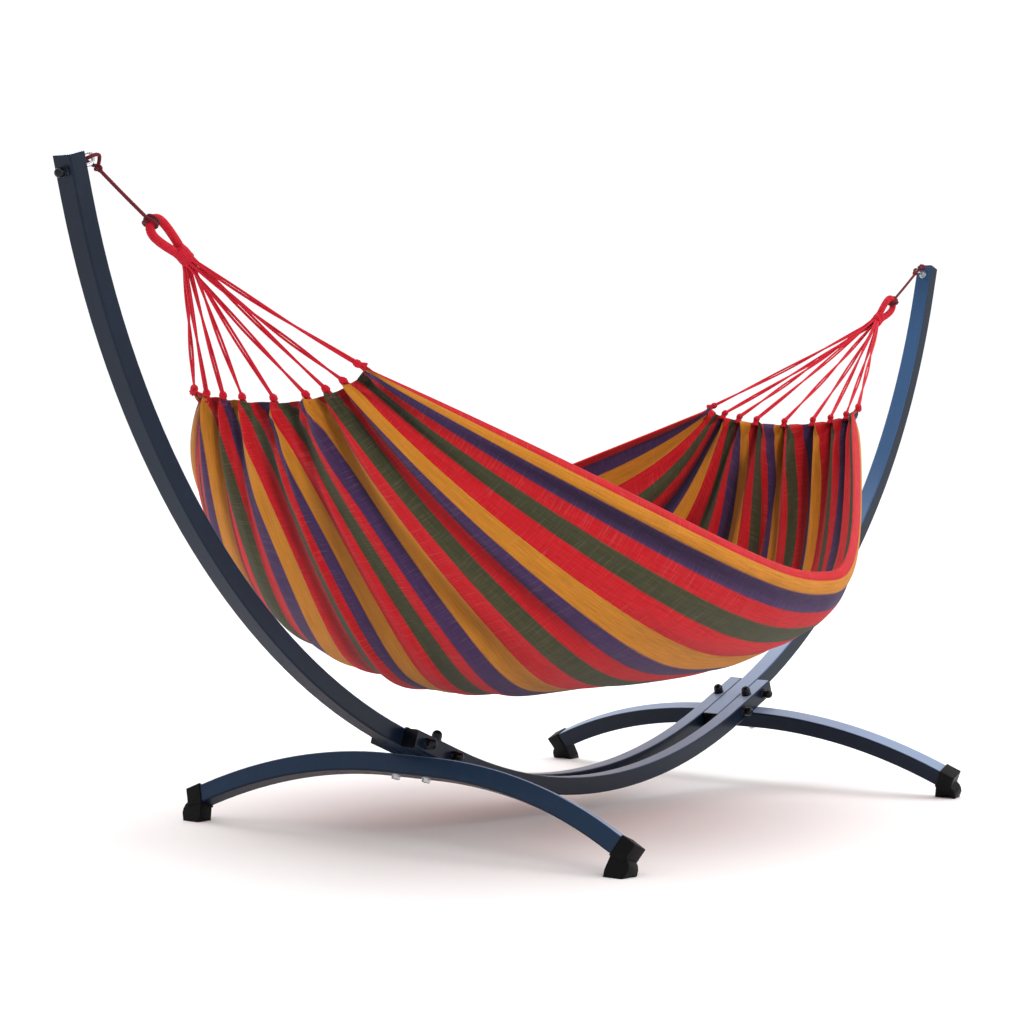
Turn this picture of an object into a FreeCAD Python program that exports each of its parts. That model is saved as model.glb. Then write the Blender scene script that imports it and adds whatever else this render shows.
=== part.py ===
import FreeCAD, Part
import Sketcher
import math
import os

from FreeCAD import Placement, Rotation, Vector

# A free-standing hammock: two curved tube arms clamped between two curved base rails,
# a tilted foot arch under each joint, and a striped cloth bed hung by cords from a
# hook bolt at the top of each arm. Millimetres. +X runs along the hammock, +Z is up,
# and the origin is on the ground in the middle of the stand.

os.makedirs("parts", exist_ok=True)
doc = FreeCAD.newDocument("hammock_on_stand")

# ---------------------------------------------------------------- driving dimensions

DIMENSIONS = {
    "tube_wall": 1.8,
    "corner_radius": 4,
    "slope_angle": 21,           # slope of rails and arms where they are bolted together
    # base rails
    "rail_width": 36,
    "rail_depth": 40,
    "rail_bend_radius": 1600,
    "rail_middle_height": 64,    # rail centre line above the ground at mid length
    "rail_straight": 162,        # straight end of each rail
    "joint_along": 77,           # from the start of that straight to the joint's centre
    # arms
    "arm_width": 44,
    "arm_depth": 40,
    "arm_bend_radius": 1600,
    "arm_tail": 113,             # from the arm's lower end to the joint's centre
    "arm_lower_straight": 158,
    "arm_turn": 53,
    "arm_top_straight": 73,
    # foot arches
    "foot_width": 38,
    "foot_depth": 42,
    "foot_flat": 60,             # half of the straight middle
    "foot_bend_radius": 1090,
    "foot_turn": 25.8,
    "foot_end_straight": 45,
    "boot_wall": 3,
    "boot_sleeve": 34,
    "boot_end_wall": 4,
    # plugs
    "plug_flange": 3,
    "plug_insert": 14,
    # fasteners
    "bolt_diameter": 10,
    "hole_diameter": 10.6,
    "cross_bolt_spacing": 100,
    "head_across_flats": 16,
    "head_height": 7,
    "washer_diameter": 21,
    "washer_thickness": 2,
    "cap_diameter": 22,
    "cap_barrel": 11,
    # hook bolts
    "hook_diameter": 7,
    "hook_below_top": 26,
    "hook_bend_radius": 11,
    "hook_shank_reach": 25.5,    # from the arm's inner face to the start of the bend
    "hook_tip": 17,
    "hook_cap_diameter": 18,
    # suspension
    "rope_diameter": 7,
    "bearing_offset": 3.6,       # rope centre to bend centre where the rope bears
    "pull_angle": 32,            # direction of the rope below the horizontal
    "knot_distance": 24.5,
    "knot_length": 20,
    "knot_width": 16,
    "eye_distance": 186,         # from the bearing point to the eye loop's far end
    "eye_diameter": 17,
    "binding_distance": 266,
    "binding_length": 36,
    "binding_diameter": 34,
    "clew_diameter": 8.5,
    "header_knot_width": 17,
    # cloth bed
    "bed_middle": -100,          # the bed hangs a little nearer to the left arm
    "left_reach": 1018,          # from the bed's middle to its left edge
    "right_reach": 975,
    "bed_half_width": 684,
    "rim_height": 577,
    "belly_height": 290,
    "left_end_half_width": 208,
    "left_near_rim": 986,        # heights at the left edge
    "left_far_rim": 938,
    "left_belly": 920,
    "right_end_half_width": 212,
    "right_near_rim": 937,
    "right_far_rim": 937,
    "right_belly": 899,
    "cloth_thickness": 3,
}

sheet = doc.addObject("Spreadsheet::Sheet", "Dimensions")
for row, (alias, number) in enumerate(DIMENSIONS.items(), start=1):
    sheet.set(f"A{row}", alias)
    sheet.set(f"B{row}", str(number))
    sheet.setAlias(f"B{row}", alias)
doc.recompute()


class Size:
    """A number together with the sheet formula that gives it."""

    def __init__(self, number, formula):
        self.number = float(number)
        self.formula = formula

    def _join(self, other, sign, number):
        text = other.formula if isinstance(other, Size) else str(other)
        return Size(number, f"({self.formula} {sign} {text})")

    def __add__(self, other):
        return self._join(other, "+", self.number + float(other))

    def __sub__(self, other):
        return self._join(other, "-", self.number - float(other))

    def __mul__(self, other):
        return self._join(other, "*", self.number * float(other))

    def __truediv__(self, other):
        return self._join(other, "/", self.number / float(other))

    def __float__(self):
        return self.number


def size(alias):
    return Size(sheet.get(alias), f"Dimensions.{alias}")


def value(alias):
    return float(sheet.get(alias))


def bind(target, prop, amount):
    """Set a property to a size and tie it to the sheet."""
    setattr(target, prop, float(amount))
    target.setExpression(prop, amount.formula)


# ------------------------------------------------------------------ sketch helpers

ORIGIN_POINT = (-1, 1)
START, END, CENTRE = 1, 2, 3


def new_body(name):
    body = doc.addObject("PartDesign::Body", name)
    body.Label = name
    return body


def new_sketch(body, name, plane, offset=None):
    """A sketch on one of the body's own origin planes, moved from it by the offset."""
    sketch = body.newObject("Sketcher::SketchObject", f"{body.Name}_{name}")
    support = [feature for feature in body.Origin.OriginFeatures if feature.Role == plane][0]
    sketch.AttachmentSupport = (support, [""])
    sketch.MapMode = "FlatFace"
    if offset is not None:
        sketch.AttachmentOffset = offset
    return sketch


def constrain(sketch, name, kind, *places, amount):
    """Add a driving constraint and tie it to the sheet."""
    number = float(amount)
    if kind == "Angle":
        number = math.radians(number)
    index = sketch.addConstraint(Sketcher.Constraint(kind, *places, number))
    sketch.renameConstraint(index, name)
    sketch.setExpression(f"Constraints.{name}", amount.formula)


def rounded_rectangle(sketch, label, width, height, radius):
    """A rectangle with round corners, centred on the sketch's origin."""
    w, h, r = float(width) / 2, float(height) / 2, float(radius)
    corners = [(w - r, -h + r, 270), (w - r, h - r, 0), (-w + r, h - r, 90), (-w + r, -h + r, 180)]
    first = len(sketch.Geometry)
    for index, (x, y, turn) in enumerate(corners):
        before = corners[index - 1]
        a = math.radians(before[2] + 90)
        b = math.radians(turn)
        start = Vector(before[0] + r * math.cos(a), before[1] + r * math.sin(a), 0)
        stop = Vector(x + r * math.cos(b), y + r * math.sin(b), 0)
        sketch.addGeometry(Part.LineSegment(start, stop))
        circle = Part.Circle(Vector(x, y, 0), Vector(0, 0, 1), r)
        sketch.addGeometry(Part.ArcOfCircle(circle, b, b + math.pi / 2))
    lines = [first + 2 * i for i in range(4)]
    arcs = [first + 2 * i + 1 for i in range(4)]
    for index in range(4):
        after = lines[(index + 1) % 4]
        sketch.addConstraint(Sketcher.Constraint("Tangent", lines[index], END, arcs[index], START))
        sketch.addConstraint(Sketcher.Constraint("Tangent", arcs[index], END, after, START))
    for index in (0, 2):
        sketch.addConstraint(Sketcher.Constraint("Horizontal", lines[index]))
        sketch.addConstraint(Sketcher.Constraint("Vertical", lines[index + 1]))
    for index in (1, 2, 3):
        sketch.addConstraint(Sketcher.Constraint("Equal", arcs[0], arcs[index]))
    sketch.addConstraint(
        Sketcher.Constraint("Symmetric", arcs[0], CENTRE, arcs[2], CENTRE, *ORIGIN_POINT))
    constrain(sketch, f"{label}_radius", "Radius", arcs[0], amount=radius)
    constrain(sketch, f"{label}_width", "DistanceX", lines[3], START, lines[1], START, amount=width)
    constrain(sketch, f"{label}_height", "DistanceY", lines[0], END, lines[2], START, amount=height)


def tube_section(sketch, width, depth):
    """The hollow section of a rectangular tube."""
    wall = size("tube_wall")
    radius = size("corner_radius")
    rounded_rectangle(sketch, "outer", width, depth, radius)
    rounded_rectangle(sketch, "inner", width - wall * 2, depth - wall * 2, radius - wall)


def tube_path(sketch, runs):
    """Straight lines and tangent arcs in a chain that starts at the origin along +x.

    Each run is ("line", length) or ("arc", radius, turn, side), where side +1 turns
    left and side -1 turns right.
    """
    x, y, heading = 0.0, 0.0, 0.0
    before = None
    for index, run in enumerate(runs):
        if run[0] == "line":
            length = float(run[1])
            stop = (x + length * math.cos(heading), y + length * math.sin(heading))
            piece = sketch.addGeometry(Part.LineSegment(Vector(x, y, 0), Vector(*stop, 0)))
            ends = (START, END)
        else:
            radius, turn, side = float(run[1]), math.radians(float(run[2])), run[3]
            normal = heading + side * math.pi / 2
            cx, cy = x + radius * math.cos(normal), y + radius * math.sin(normal)
            away = normal + math.pi
            low, high = sorted((away, away + side * turn))
            circle = Part.Circle(Vector(cx, cy, 0), Vector(0, 0, 1), radius)
            piece = sketch.addGeometry(Part.ArcOfCircle(circle, low, high))
            last = away + side * turn
            stop = (cx + radius * math.cos(last), cy + radius * math.sin(last))
            heading += side * turn
            ends = (START, END) if side > 0 else (END, START)
        if before is None:
            sketch.addConstraint(Sketcher.Constraint("Coincident", piece, ends[0], *ORIGIN_POINT))
            if run[0] == "line":
                sketch.addConstraint(Sketcher.Constraint("Horizontal", piece))
            else:
                sketch.addConstraint(Sketcher.Constraint("PointOnObject", piece, CENTRE, -2))
        else:
            sketch.addConstraint(Sketcher.Constraint("Tangent", *before, piece, ends[0]))
        if run[0] == "line":
            constrain(sketch, f"run_{index}", "Distance", piece, amount=run[1])
        else:
            constrain(sketch, f"radius_{index}", "Radius", piece, amount=run[1])
            constrain(sketch, f"turn_{index}", "Angle", piece, amount=run[2])
        before = (piece, ends[1])
        x, y = stop


def sweep(body, profile, path):
    pipe = body.newObject("PartDesign::AdditivePipe", f"{body.Name}_tube")
    pipe.Profile = profile
    pipe.Spine = path
    doc.recompute()
    return pipe


def mirror(body, features, plane):
    mirrored = body.newObject("PartDesign::Mirrored", f"{body.Name}_other_half")
    mirrored.Originals = features
    support = [feature for feature in body.Origin.OriginFeatures if feature.Role == plane][0]
    mirrored.MirrorPlane = (support, [""])
    body.Tip = mirrored
    doc.recompute()


def drill(body, name, plane, offset, spots, diameter, depth):
    """Round holes cut both ways from a sketch, with the removed volume checked."""
    sketch = new_sketch(body, name, plane, offset)
    for index, (x, y) in enumerate(spots):
        sketch.addGeometry(Part.Circle(Vector(x, y, 0), Vector(0, 0, 1), float(diameter) / 2))
        constrain(sketch, f"hole_{index}", "Diameter", index, amount=diameter)
    before = body.Shape.Volume
    pocket = body.newObject("PartDesign::Pocket", f"{body.Name}_{name}_cut")
    pocket.Profile = sketch
    pocket.Length = depth
    pocket.Midplane = True
    doc.recompute()
    if body.Shape.Volume >= before:
        raise RuntimeError(f"{body.Name} {name} cut nothing")
    return pocket


# ------------------------------------------------------------------ the joint's place

slope = math.radians(value("slope_angle"))
along_slope = Vector(math.cos(slope), 0, math.sin(slope))
up_slope = Vector(-math.sin(slope), 0, math.cos(slope))
joint_centre = Vector(
    value("rail_bend_radius") * math.sin(slope),
    0,
    value("rail_middle_height") + value("rail_bend_radius") * (1 - math.cos(slope)),
) + along_slope * value("joint_along")
joint_frame = Placement(joint_centre, Rotation(Vector(0, 1, 0), -value("slope_angle")))
half_turn = Placement(Vector(0, 0, 0), Rotation(Vector(0, 0, 1), 180))
SIDES = {"right": Placement(), "left": half_turn}


def at_joint(side, x=0.0, y=0.0, z=0.0, rotation=None):
    """A placement in the frame of one joint: x up the slope, z square to it."""
    local = Placement(Vector(x, y, z), rotation or Rotation())
    return SIDES[side] * joint_frame * local


# ------------------------------------------------------------------------ base rails

ALONG_Y = Rotation(Vector(1, 0, 0), -90)      # turns +Z to +Y
AGAINST_Y = Rotation(Vector(1, 0, 0), 90)     # turns +Z to -Y
DOWNWARD = Rotation(Vector(1, 0, 0), 180)

rail_side = (value("arm_width") + value("rail_width")) / 2
bolt_half_spacing = value("cross_bolt_spacing") / 2


def make_rail(name, y):
    body = new_body(name)
    profile = new_sketch(body, "section", "YZ_Plane")
    tube_section(profile, size("rail_width"), size("rail_depth"))
    path = new_sketch(body, "path", "XZ_Plane")
    tube_path(path, [
        ("arc", size("rail_bend_radius"), size("slope_angle"), 1),
        ("line", size("rail_straight")),
    ])
    tube = sweep(body, profile, path)
    middle = joint_centre - Vector(0, 0, value("rail_middle_height"))
    spots = [middle + along_slope * step for step in (-bolt_half_spacing, bolt_half_spacing)]
    cross = drill(body, "cross_holes", "XZ_Plane", None, [(p.x, p.z) for p in spots],
                  size("hole_diameter"), value("rail_width") * 2)
    square_to_slope = Placement(middle, joint_frame.Rotation)
    upright = drill(body, "foot_bolt_hole", "XY_Plane", square_to_slope, [(0, 0)],
                    size("hole_diameter"), value("rail_depth") * 2)
    mirror(body, [tube, cross, upright], "YZ_Plane")
    body.Placement = Placement(Vector(0, y, value("rail_middle_height")), Rotation())
    return body


rails = [make_rail("rail_front", -rail_side), make_rail("rail_back", rail_side)]

# ------------------------------------------------------------------------------ arms

turn = math.radians(value("arm_turn"))
arm_top = Vector(
    value("arm_lower_straight") + value("arm_bend_radius") * math.sin(turn),
    0,
    value("arm_bend_radius") * (1 - math.cos(turn)),
) + Vector(math.cos(turn), 0, math.sin(turn)) * value("arm_top_straight")
arm_top_frame = Placement(arm_top, Rotation(Vector(0, 1, 0), 90 - value("arm_turn")))


def arm_placement(side):
    return at_joint(side, x=-value("arm_tail"))


def make_arm(side):
    """Drawn from its lower end, which lies at the origin, along +X and then upwards."""
    body = new_body(f"arm_{side}")
    profile = new_sketch(body, "section", "YZ_Plane")
    tube_section(profile, size("arm_width"), size("arm_depth"))
    path = new_sketch(body, "path", "XZ_Plane")
    tube_path(path, [
        ("line", size("arm_lower_straight")),
        ("arc", size("arm_bend_radius"), size("arm_turn"), 1),
        ("line", size("arm_top_straight")),
    ])
    sweep(body, profile, path)
    steps = (value("arm_tail") - bolt_half_spacing, value("arm_tail") + bolt_half_spacing)
    drill(body, "cross_holes", "XZ_Plane", None, [(step, 0) for step in steps],
          size("hole_diameter"), value("arm_width") * 2)
    hook_hole = arm_top_frame * Placement(
        Vector(0, 0, -value("hook_below_top")), Rotation(Vector(0, 1, 0), 90))
    drill(body, "hook_hole", "XY_Plane", hook_hole, [(0, 0)],
          size("hook_diameter") + 1, value("arm_depth") * 2)
    body.Placement = arm_placement(side)
    return body


arms = {side: make_arm(side) for side in SIDES}

# ----------------------------------------------------------------------- foot arches

foot_drop = (value("rail_depth") + value("foot_depth")) / 2
foot_turn = math.radians(value("foot_turn"))


def make_foot(side):
    """Drawn with the middle of its arch at the origin, and its plane upright."""
    body = new_body(f"foot_tube_{side}")
    profile = new_sketch(body, "section", "XZ_Plane")
    tube_section(profile, size("foot_width"), size("foot_depth"))
    path = new_sketch(body, "path", "YZ_Plane")
    tube_path(path, [
        ("line", size("foot_flat")),
        ("arc", size("foot_bend_radius"), size("foot_turn"), -1),
        ("line", size("foot_end_straight")),
    ])
    tube = sweep(body, profile, path)
    upright = drill(body, "bolt_hole", "XY_Plane", None, [(0, rail_side)],
                    size("hole_diameter"), value("foot_depth") * 2)
    mirror(body, [tube, upright], "XZ_Plane")
    body.Placement = at_joint(side, z=-foot_drop)
    return body


foot_tubes = [make_foot(side) for side in SIDES]

# ----------------------------------------------------------------------------- boots

# The boot's outline is drawn in the plane of the arch, with the ground line at height 0
# and the distance from the middle of the arch as the other coordinate.
ground_height = joint_centre.z / math.cos(slope)
ground_frame = joint_frame * Placement(Vector(0, 0, -ground_height), Rotation())
tube_end = Vector(
    value("foot_flat") + value("foot_bend_radius") * math.sin(foot_turn)
    + value("foot_end_straight") * math.cos(foot_turn),
    ground_height - foot_drop - value("foot_bend_radius") * (1 - math.cos(foot_turn))
    - value("foot_end_straight") * math.sin(foot_turn),
    0,
)
outward = Vector(math.cos(foot_turn), -math.sin(foot_turn), 0)
upward = Vector(math.sin(foot_turn), math.cos(foot_turn), 0)


def closed_outline(sketch, points):
    """A closed outline of straight lines."""
    for index, point in enumerate(points):
        after = points[(index + 1) % len(points)]
        sketch.addGeometry(Part.LineSegment(point, after))


def make_boot(side, end):
    """end is -1 for the front of the stand and +1 for the back."""
    name = f"boot_{'front' if end < 0 else 'back'}_{side}"
    hand = end if side == "right" else -end
    body = new_body(name)
    half = value("foot_depth") / 2
    wall = value("boot_wall")
    sleeve = value("boot_sleeve")
    sole = -16
    top_inner = tube_end - outward * sleeve + upward * (half + wall)
    top_outer = tube_end + outward * value("boot_end_wall") + upward * (half + wall)
    waist = tube_end + outward * value("boot_end_wall") - upward * 8
    sleeve_bottom = tube_end - outward * sleeve - upward * (half + wall)
    heel = Vector(sleeve_bottom.x - 4, sole, 0)
    toe = waist + Vector(9, -14, 0)
    outline = [
        top_inner,
        top_outer,
        waist,
        waist + Vector(6, -5, 0),
        toe,
        toe + Vector(0, -10, 0),
        toe + Vector(-5, -20, 0),
        Vector(toe.x - 12, sole, 0),
        heel,
        Vector(heel.x - 1, 6, 0),
        sleeve_bottom,
    ]
    profile = new_sketch(body, "outline", "YZ_Plane")
    closed_outline(profile, [Vector(hand * p.x, p.y, 0) for p in outline])
    pad = body.newObject("PartDesign::Pad", f"{name}_block")
    pad.Profile = profile
    pad.Midplane = True
    bind(pad, "Length", size("foot_width") + size("boot_wall") * 2)
    doc.recompute()
    before = body.Shape.Volume
    socket = new_sketch(body, "socket", "YZ_Plane")
    room = [
        tube_end + upward * half,
        tube_end - upward * half,
        tube_end - outward * (sleeve + 20) - upward * half,
        tube_end - outward * (sleeve + 20) + upward * half,
    ]
    closed_outline(socket, [Vector(hand * p.x, p.y, 0) for p in room])
    pocket = body.newObject("PartDesign::Pocket", f"{name}_socket_cut")
    pocket.Profile = socket
    pocket.Midplane = True
    bind(pocket, "Length", size("foot_width"))
    doc.recompute()
    below = new_sketch(body, "ground", "XZ_Plane")
    reach = 60
    rise = reach * math.tan(slope)
    closed_outline(below, [
        Vector(-reach, rise, 0), Vector(reach, -rise, 0), Vector(reach, -90, 0), Vector(-reach, -90, 0)])
    level = body.newObject("PartDesign::Pocket", f"{name}_level_sole")
    level.Profile = below
    level.Midplane = True
    level.Length = 3 * tube_end.x
    doc.recompute()
    if body.Shape.Volume > 0.9 * before:
        raise RuntimeError(f"{name} was not hollowed")
    body.Placement = SIDES[side] * ground_frame
    return body


boots = [make_boot(side, end) for side in SIDES for end in (-1, 1)]

# ----------------------------------------------------------------- pieces made in sets


def group(name, source, placements):
    """Identical pieces as separate solids in one node, copied from one source piece."""
    shapes = []
    for placement in placements:
        copy = source.Shape.copy()
        copy.Placement = placement * source.Placement
        shapes.append(copy)
    node = doc.addObject("Part::Feature", name)
    node.Label = name
    node.Shape = Part.makeCompound(shapes)
    return node


def make_plug(name, width, depth):
    """A push-in plug: a flange as large as the tube below an insert that points up +Z."""
    body = new_body(name)
    wall = size("tube_wall")
    radius = size("corner_radius")
    flange_sketch = new_sketch(body, "flange", "XY_Plane")
    rounded_rectangle(flange_sketch, "flange", width, depth, radius)
    flange = body.newObject("PartDesign::Pad", f"{name}_flange_pad")
    flange.Profile = flange_sketch
    flange.Reversed = True
    bind(flange, "Length", size("plug_flange"))
    doc.recompute()
    insert_sketch = new_sketch(body, "insert", "XY_Plane")
    rounded_rectangle(insert_sketch, "insert", width - wall * 2, depth - wall * 2, radius - wall)
    insert = body.newObject("PartDesign::Pad", f"{name}_insert_pad")
    insert.Profile = insert_sketch
    bind(insert, "Length", size("plug_insert"))
    doc.recompute()
    return body


rail_plug = make_plug("rail_plug", size("rail_depth"), size("rail_width"))
arm_plug = make_plug("arm_plug", size("arm_depth"), size("arm_width"))
INTO_SLOPE = Rotation(Vector(0, 1, 0), -90)    # +Z of the plug points down the slope
UP_SLOPE = Rotation(Vector(0, 1, 0), 90)
rail_end = value("rail_straight") - value("joint_along")
rail_plugs = group("rail_end_plugs", rail_plug, [
    at_joint(side, x=rail_end, y=y, rotation=INTO_SLOPE)
    for side in SIDES for y in (-rail_side, rail_side)])
arm_lower_plugs = group("arm_lower_plugs", arm_plug, [
    at_joint(side, x=-value("arm_tail"), rotation=UP_SLOPE) for side in SIDES])
arm_top_caps = group("arm_top_caps", arm_plug, [
    arm_placement(side) * arm_top_frame * Placement(Vector(0, 0, 0), Rotation(Vector(0, 1, 0), 180))
    for side in SIDES])

# ------------------------------------------------------------------------- fasteners


def make_hex_bolt(name, length):
    """Head below the origin, shank up +Z from it."""
    head = doc.addObject("Part::Prism", f"{name}_head")
    head.Polygon = 6
    bind(head, "Circumradius", size("head_across_flats") / round(math.sqrt(3), 6))
    bind(head, "Height", size("head_height"))
    head.Placement = Placement(Vector(0, 0, -value("head_height")), Rotation())
    shank = doc.addObject("Part::Cylinder", f"{name}_shank")
    bind(shank, "Radius", size("bolt_diameter") / 2)
    shank.Height = length
    bolt = doc.addObject("Part::MultiFuse", name)
    bolt.Shapes = [head, shank]
    doc.recompute()
    return bolt


def make_washer(name, outer, hole):
    disc = doc.addObject("Part::Cylinder", f"{name}_disc")
    bind(disc, "Radius", outer / 2)
    bind(disc, "Height", size("washer_thickness"))
    bore = doc.addObject("Part::Cylinder", f"{name}_bore")
    bind(bore, "Radius", hole / 2)
    bind(bore, "Height", size("washer_thickness"))
    washer = doc.addObject("Part::Cut", name)
    washer.Base = disc
    washer.Tool = bore
    doc.recompute()
    return washer


def make_cap_nut(name, diameter, bore, thread):
    """A domed cap nut that stands on the XY plane, with a blind bore."""
    body = new_body(name)
    outline = new_sketch(body, "half_section", "XZ_Plane")
    radius = float(diameter) / 2
    barrel = value("cap_barrel") * radius * 2 / value("cap_diameter")
    inside = float(bore) / 2 + 0.05
    points = [
        Vector(inside, 0, 0),
        Vector(radius + 1, 0, 0),
        Vector(radius + 1, 2, 0),
        Vector(radius, 3, 0),
        Vector(radius, barrel, 0),
    ]
    for start, stop in zip(points, points[1:]):
        outline.addGeometry(Part.LineSegment(start, stop))
    dome = Part.ArcOfCircle(Part.Circle(Vector(0, barrel, 0), Vector(0, 0, 1), radius), 0, math.pi / 2)
    outline.addGeometry(dome)
    tip = Vector(0, barrel + radius, 0)
    for start, stop in ((tip, Vector(0, thread, 0)), (Vector(0, thread, 0), Vector(inside, thread, 0)),
                        (Vector(inside, thread, 0), points[0])):
        outline.addGeometry(Part.LineSegment(start, stop))
    turned = body.newObject("PartDesign::Revolution", f"{name}_turned")
    turned.Profile = outline
    turned.ReferenceAxis = (outline, ["V_Axis"])
    turned.Angle = 360
    doc.recompute()
    return body


grip = 12                                      # bolt length beyond the washer, in the cap
washer_size = value("washer_thickness")
clamp_half = value("arm_width") / 2 + value("rail_width")
cross_bolt = make_hex_bolt("cross_bolt", 2 * clamp_half + washer_size * 2 + grip)
stack = value("rail_depth") / 2 + value("rail_depth") / 2 + value("foot_depth")
foot_bolt = make_hex_bolt("foot_bolt", stack + washer_size + grip)
washer = make_washer("washer", size("washer_diameter"), size("hole_diameter"))
cap_nut = make_cap_nut("cap_nut", size("cap_diameter"), size("bolt_diameter"), grip)


def faces_front(side):
    """The local y direction that points to the front of the stand at each joint."""
    return -1 if side == "right" else 1


def across(side, x, reach, towards_front):
    """A placement whose +Z points out of the front or the back rail."""
    sign = faces_front(side) * (1 if towards_front else -1)
    rotation = AGAINST_Y if sign < 0 else ALONG_Y
    return at_joint(side, x=x, y=sign * reach, rotation=rotation)


spots = [(side, x) for side in SIDES for x in (-bolt_half_spacing, bolt_half_spacing)]
cross_bolts = group("cross_bolts", cross_bolt, [
    across(side, x, clamp_half + washer_size, False) * Placement(Vector(0, 0, 0), DOWNWARD)
    for side, x in spots])
cross_washers = group("cross_bolt_washers", washer, [
    across(side, x, clamp_half, front) for side, x in spots for front in (True, False)])
cross_caps = group("cross_bolt_cap_nuts", cap_nut, [
    across(side, x, clamp_half + washer_size, True) for side, x in spots])
foot_spots = [(side, y) for side in SIDES for y in (-rail_side, rail_side)]
under_foot = -value("rail_depth") / 2 - value("foot_depth")
foot_bolts = group("foot_bolts", foot_bolt, [
    at_joint(side, y=y, z=under_foot - washer_size) for side, y in foot_spots])
foot_washers = group("foot_bolt_washers", washer, [
    at_joint(side, y=y, z=under_foot - washer_size) for side, y in foot_spots])
foot_caps = group("foot_bolt_cap_nuts", cap_nut, [
    at_joint(side, y=y, z=value("rail_depth") / 2) for side, y in foot_spots])

# ------------------------------------------------------------------------ hook bolts

# In the hook's own frame the origin is on the bolt's axis at the arm's inner face, and
# +X points inwards along the bolt.
hook_frame = arm_top_frame * Placement(
    Vector(-value("arm_depth") / 2, 0, -value("hook_below_top")), Rotation(Vector(0, 0, 1), 180))
hook_tail = value("arm_depth") + washer_size + grip


def make_hook(side):
    body = new_body(f"hook_bolt_{side}")
    profile = new_sketch(body, "section", "YZ_Plane")
    profile.addGeometry(Part.Circle(Vector(0, 0, 0), Vector(0, 0, 1), value("hook_diameter") / 2))
    constrain(profile, "thickness", "Diameter", 0, amount=size("hook_diameter"))
    path = new_sketch(body, "path", "XZ_Plane")
    shank = size("hook_shank_reach") + size("arm_depth") + size("washer_thickness") + grip
    tube_path(path, [
        ("line", shank),
        ("arc", size("hook_bend_radius"), Size(180, "180"), 1),
        ("line", size("hook_tip")),
    ])
    sweep(body, profile, path)
    body.Placement = arm_placement(side) * hook_frame * Placement(Vector(-hook_tail, 0, 0), Rotation())
    return body


hooks = [make_hook(side) for side in SIDES]
hook_washer = make_washer("hook_washer", size("hook_cap_diameter") + 2, size("hook_diameter") + 1)
hook_cap = make_cap_nut("hook_cap", size("hook_cap_diameter"), size("hook_diameter"), grip)
nut_block = doc.addObject("Part::Prism", "nut_block")
nut_block.Polygon = 6
bind(nut_block, "Circumradius", (size("head_across_flats") - 3) / round(math.sqrt(3), 6))
nut_block.Height = 6
nut_bore = doc.addObject("Part::Cylinder", "nut_bore")
bind(nut_bore, "Radius", size("hook_diameter") / 2 + 0.05)
nut_bore.Height = 6
hook_nut = doc.addObject("Part::Cut", "hook_nut")
hook_nut.Base = nut_block
hook_nut.Tool = nut_bore
doc.recompute()
INWARD = Rotation(Vector(0, 1, 0), 90)         # +Z of the piece points along the hook's +X
OUTWARD = Rotation(Vector(0, 1, 0), -90)


def on_hook(side, x, rotation):
    return arm_placement(side) * hook_frame * Placement(Vector(x, 0, 0), rotation)


hook_washers = group("hook_bolt_washers", hook_washer, [
    place for side in SIDES
    for place in (on_hook(side, 0, INWARD), on_hook(side, -value("arm_depth"), OUTWARD))])
hook_nuts = group("hook_bolt_nuts", hook_nut, [on_hook(side, washer_size, INWARD) for side in SIDES])
hook_caps = group("hook_bolt_cap_nuts", hook_cap, [
    on_hook(side, -value("arm_depth") - washer_size, OUTWARD) for side in SIDES])

# ------------------------------------------------------------------------ suspension

# Everything from the hook to the bed lies along one pull line in the plane Y = 0. Its
# frame starts at the point where the rope bears in the hook, with +X down the pull line,
# +Z square to it and upwards. The left one is the right one turned half round.
pull = math.radians(value("pull_angle"))
hook_world = arm_placement("right") * hook_frame
bend_centre = hook_world.multVec(Vector(value("hook_shank_reach"), 0, value("hook_bend_radius")))
pull_line = Vector(-math.cos(pull), 0, -math.sin(pull))
bearing = bend_centre + pull_line * value("bearing_offset")
pull_frame = Placement(bearing, Rotation(Vector(0, 0, 1), 180) * Rotation(Vector(0, 1, 0), value("pull_angle")))
print("swing axis height", round(bearing.z, 2), "bearing x", round(bearing.x, 2))


def rounded_path(points):
    """Straight runs joined by the largest tangent arcs that share each run evenly."""
    edges = []
    radii = []
    length = 0.0
    at = points[0]
    for before, corner, after in zip(points, points[1:], points[2:]):
        back = (before - corner)
        ahead = (after - corner)
        shorter = min(back.Length, ahead.Length)
        half = (math.pi - back.getAngle(ahead)) / 2
        cut = 0.45 * shorter
        radius = cut / math.tan(half)
        back.normalize()
        ahead.normalize()
        first = corner + back * cut
        last = corner + ahead * cut
        bisector = back + ahead
        bisector.normalize()
        middle = corner + bisector * (radius / math.cos(half) - radius)
        edges.append(Part.LineSegment(at, first).toShape())
        edges.append(Part.Arc(first, middle, last).toShape())
        length += (first - at).Length + 2 * half * radius
        radii.append(radius)
        at = last
    edges.append(Part.LineSegment(at, points[-1]).toShape())
    length += (points[-1] - at).Length
    return Part.Wire(edges), radii, length


def cord(name, points, diameter, placement):
    """A round cord along a route, with its volume compared with section times length."""
    wire, radii, length = rounded_path(points)
    start = points[0]
    direction = points[1] - points[0]
    ring = Part.Wire([Part.Circle(start, direction, diameter / 2).toShape()])
    solid = wire.makePipeShell([ring], True, False)
    expected = math.pi * diameter ** 2 / 4 * length
    print(f"{name}: length {length:.1f}, radii {[round(r, 1) for r in radii]}, "
          f"volume {solid.Volume / expected:.4f} of section times length")
    node = doc.addObject("Part::Feature", name)
    node.Label = name
    node.Shape = solid
    node.Placement = placement
    return node


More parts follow.
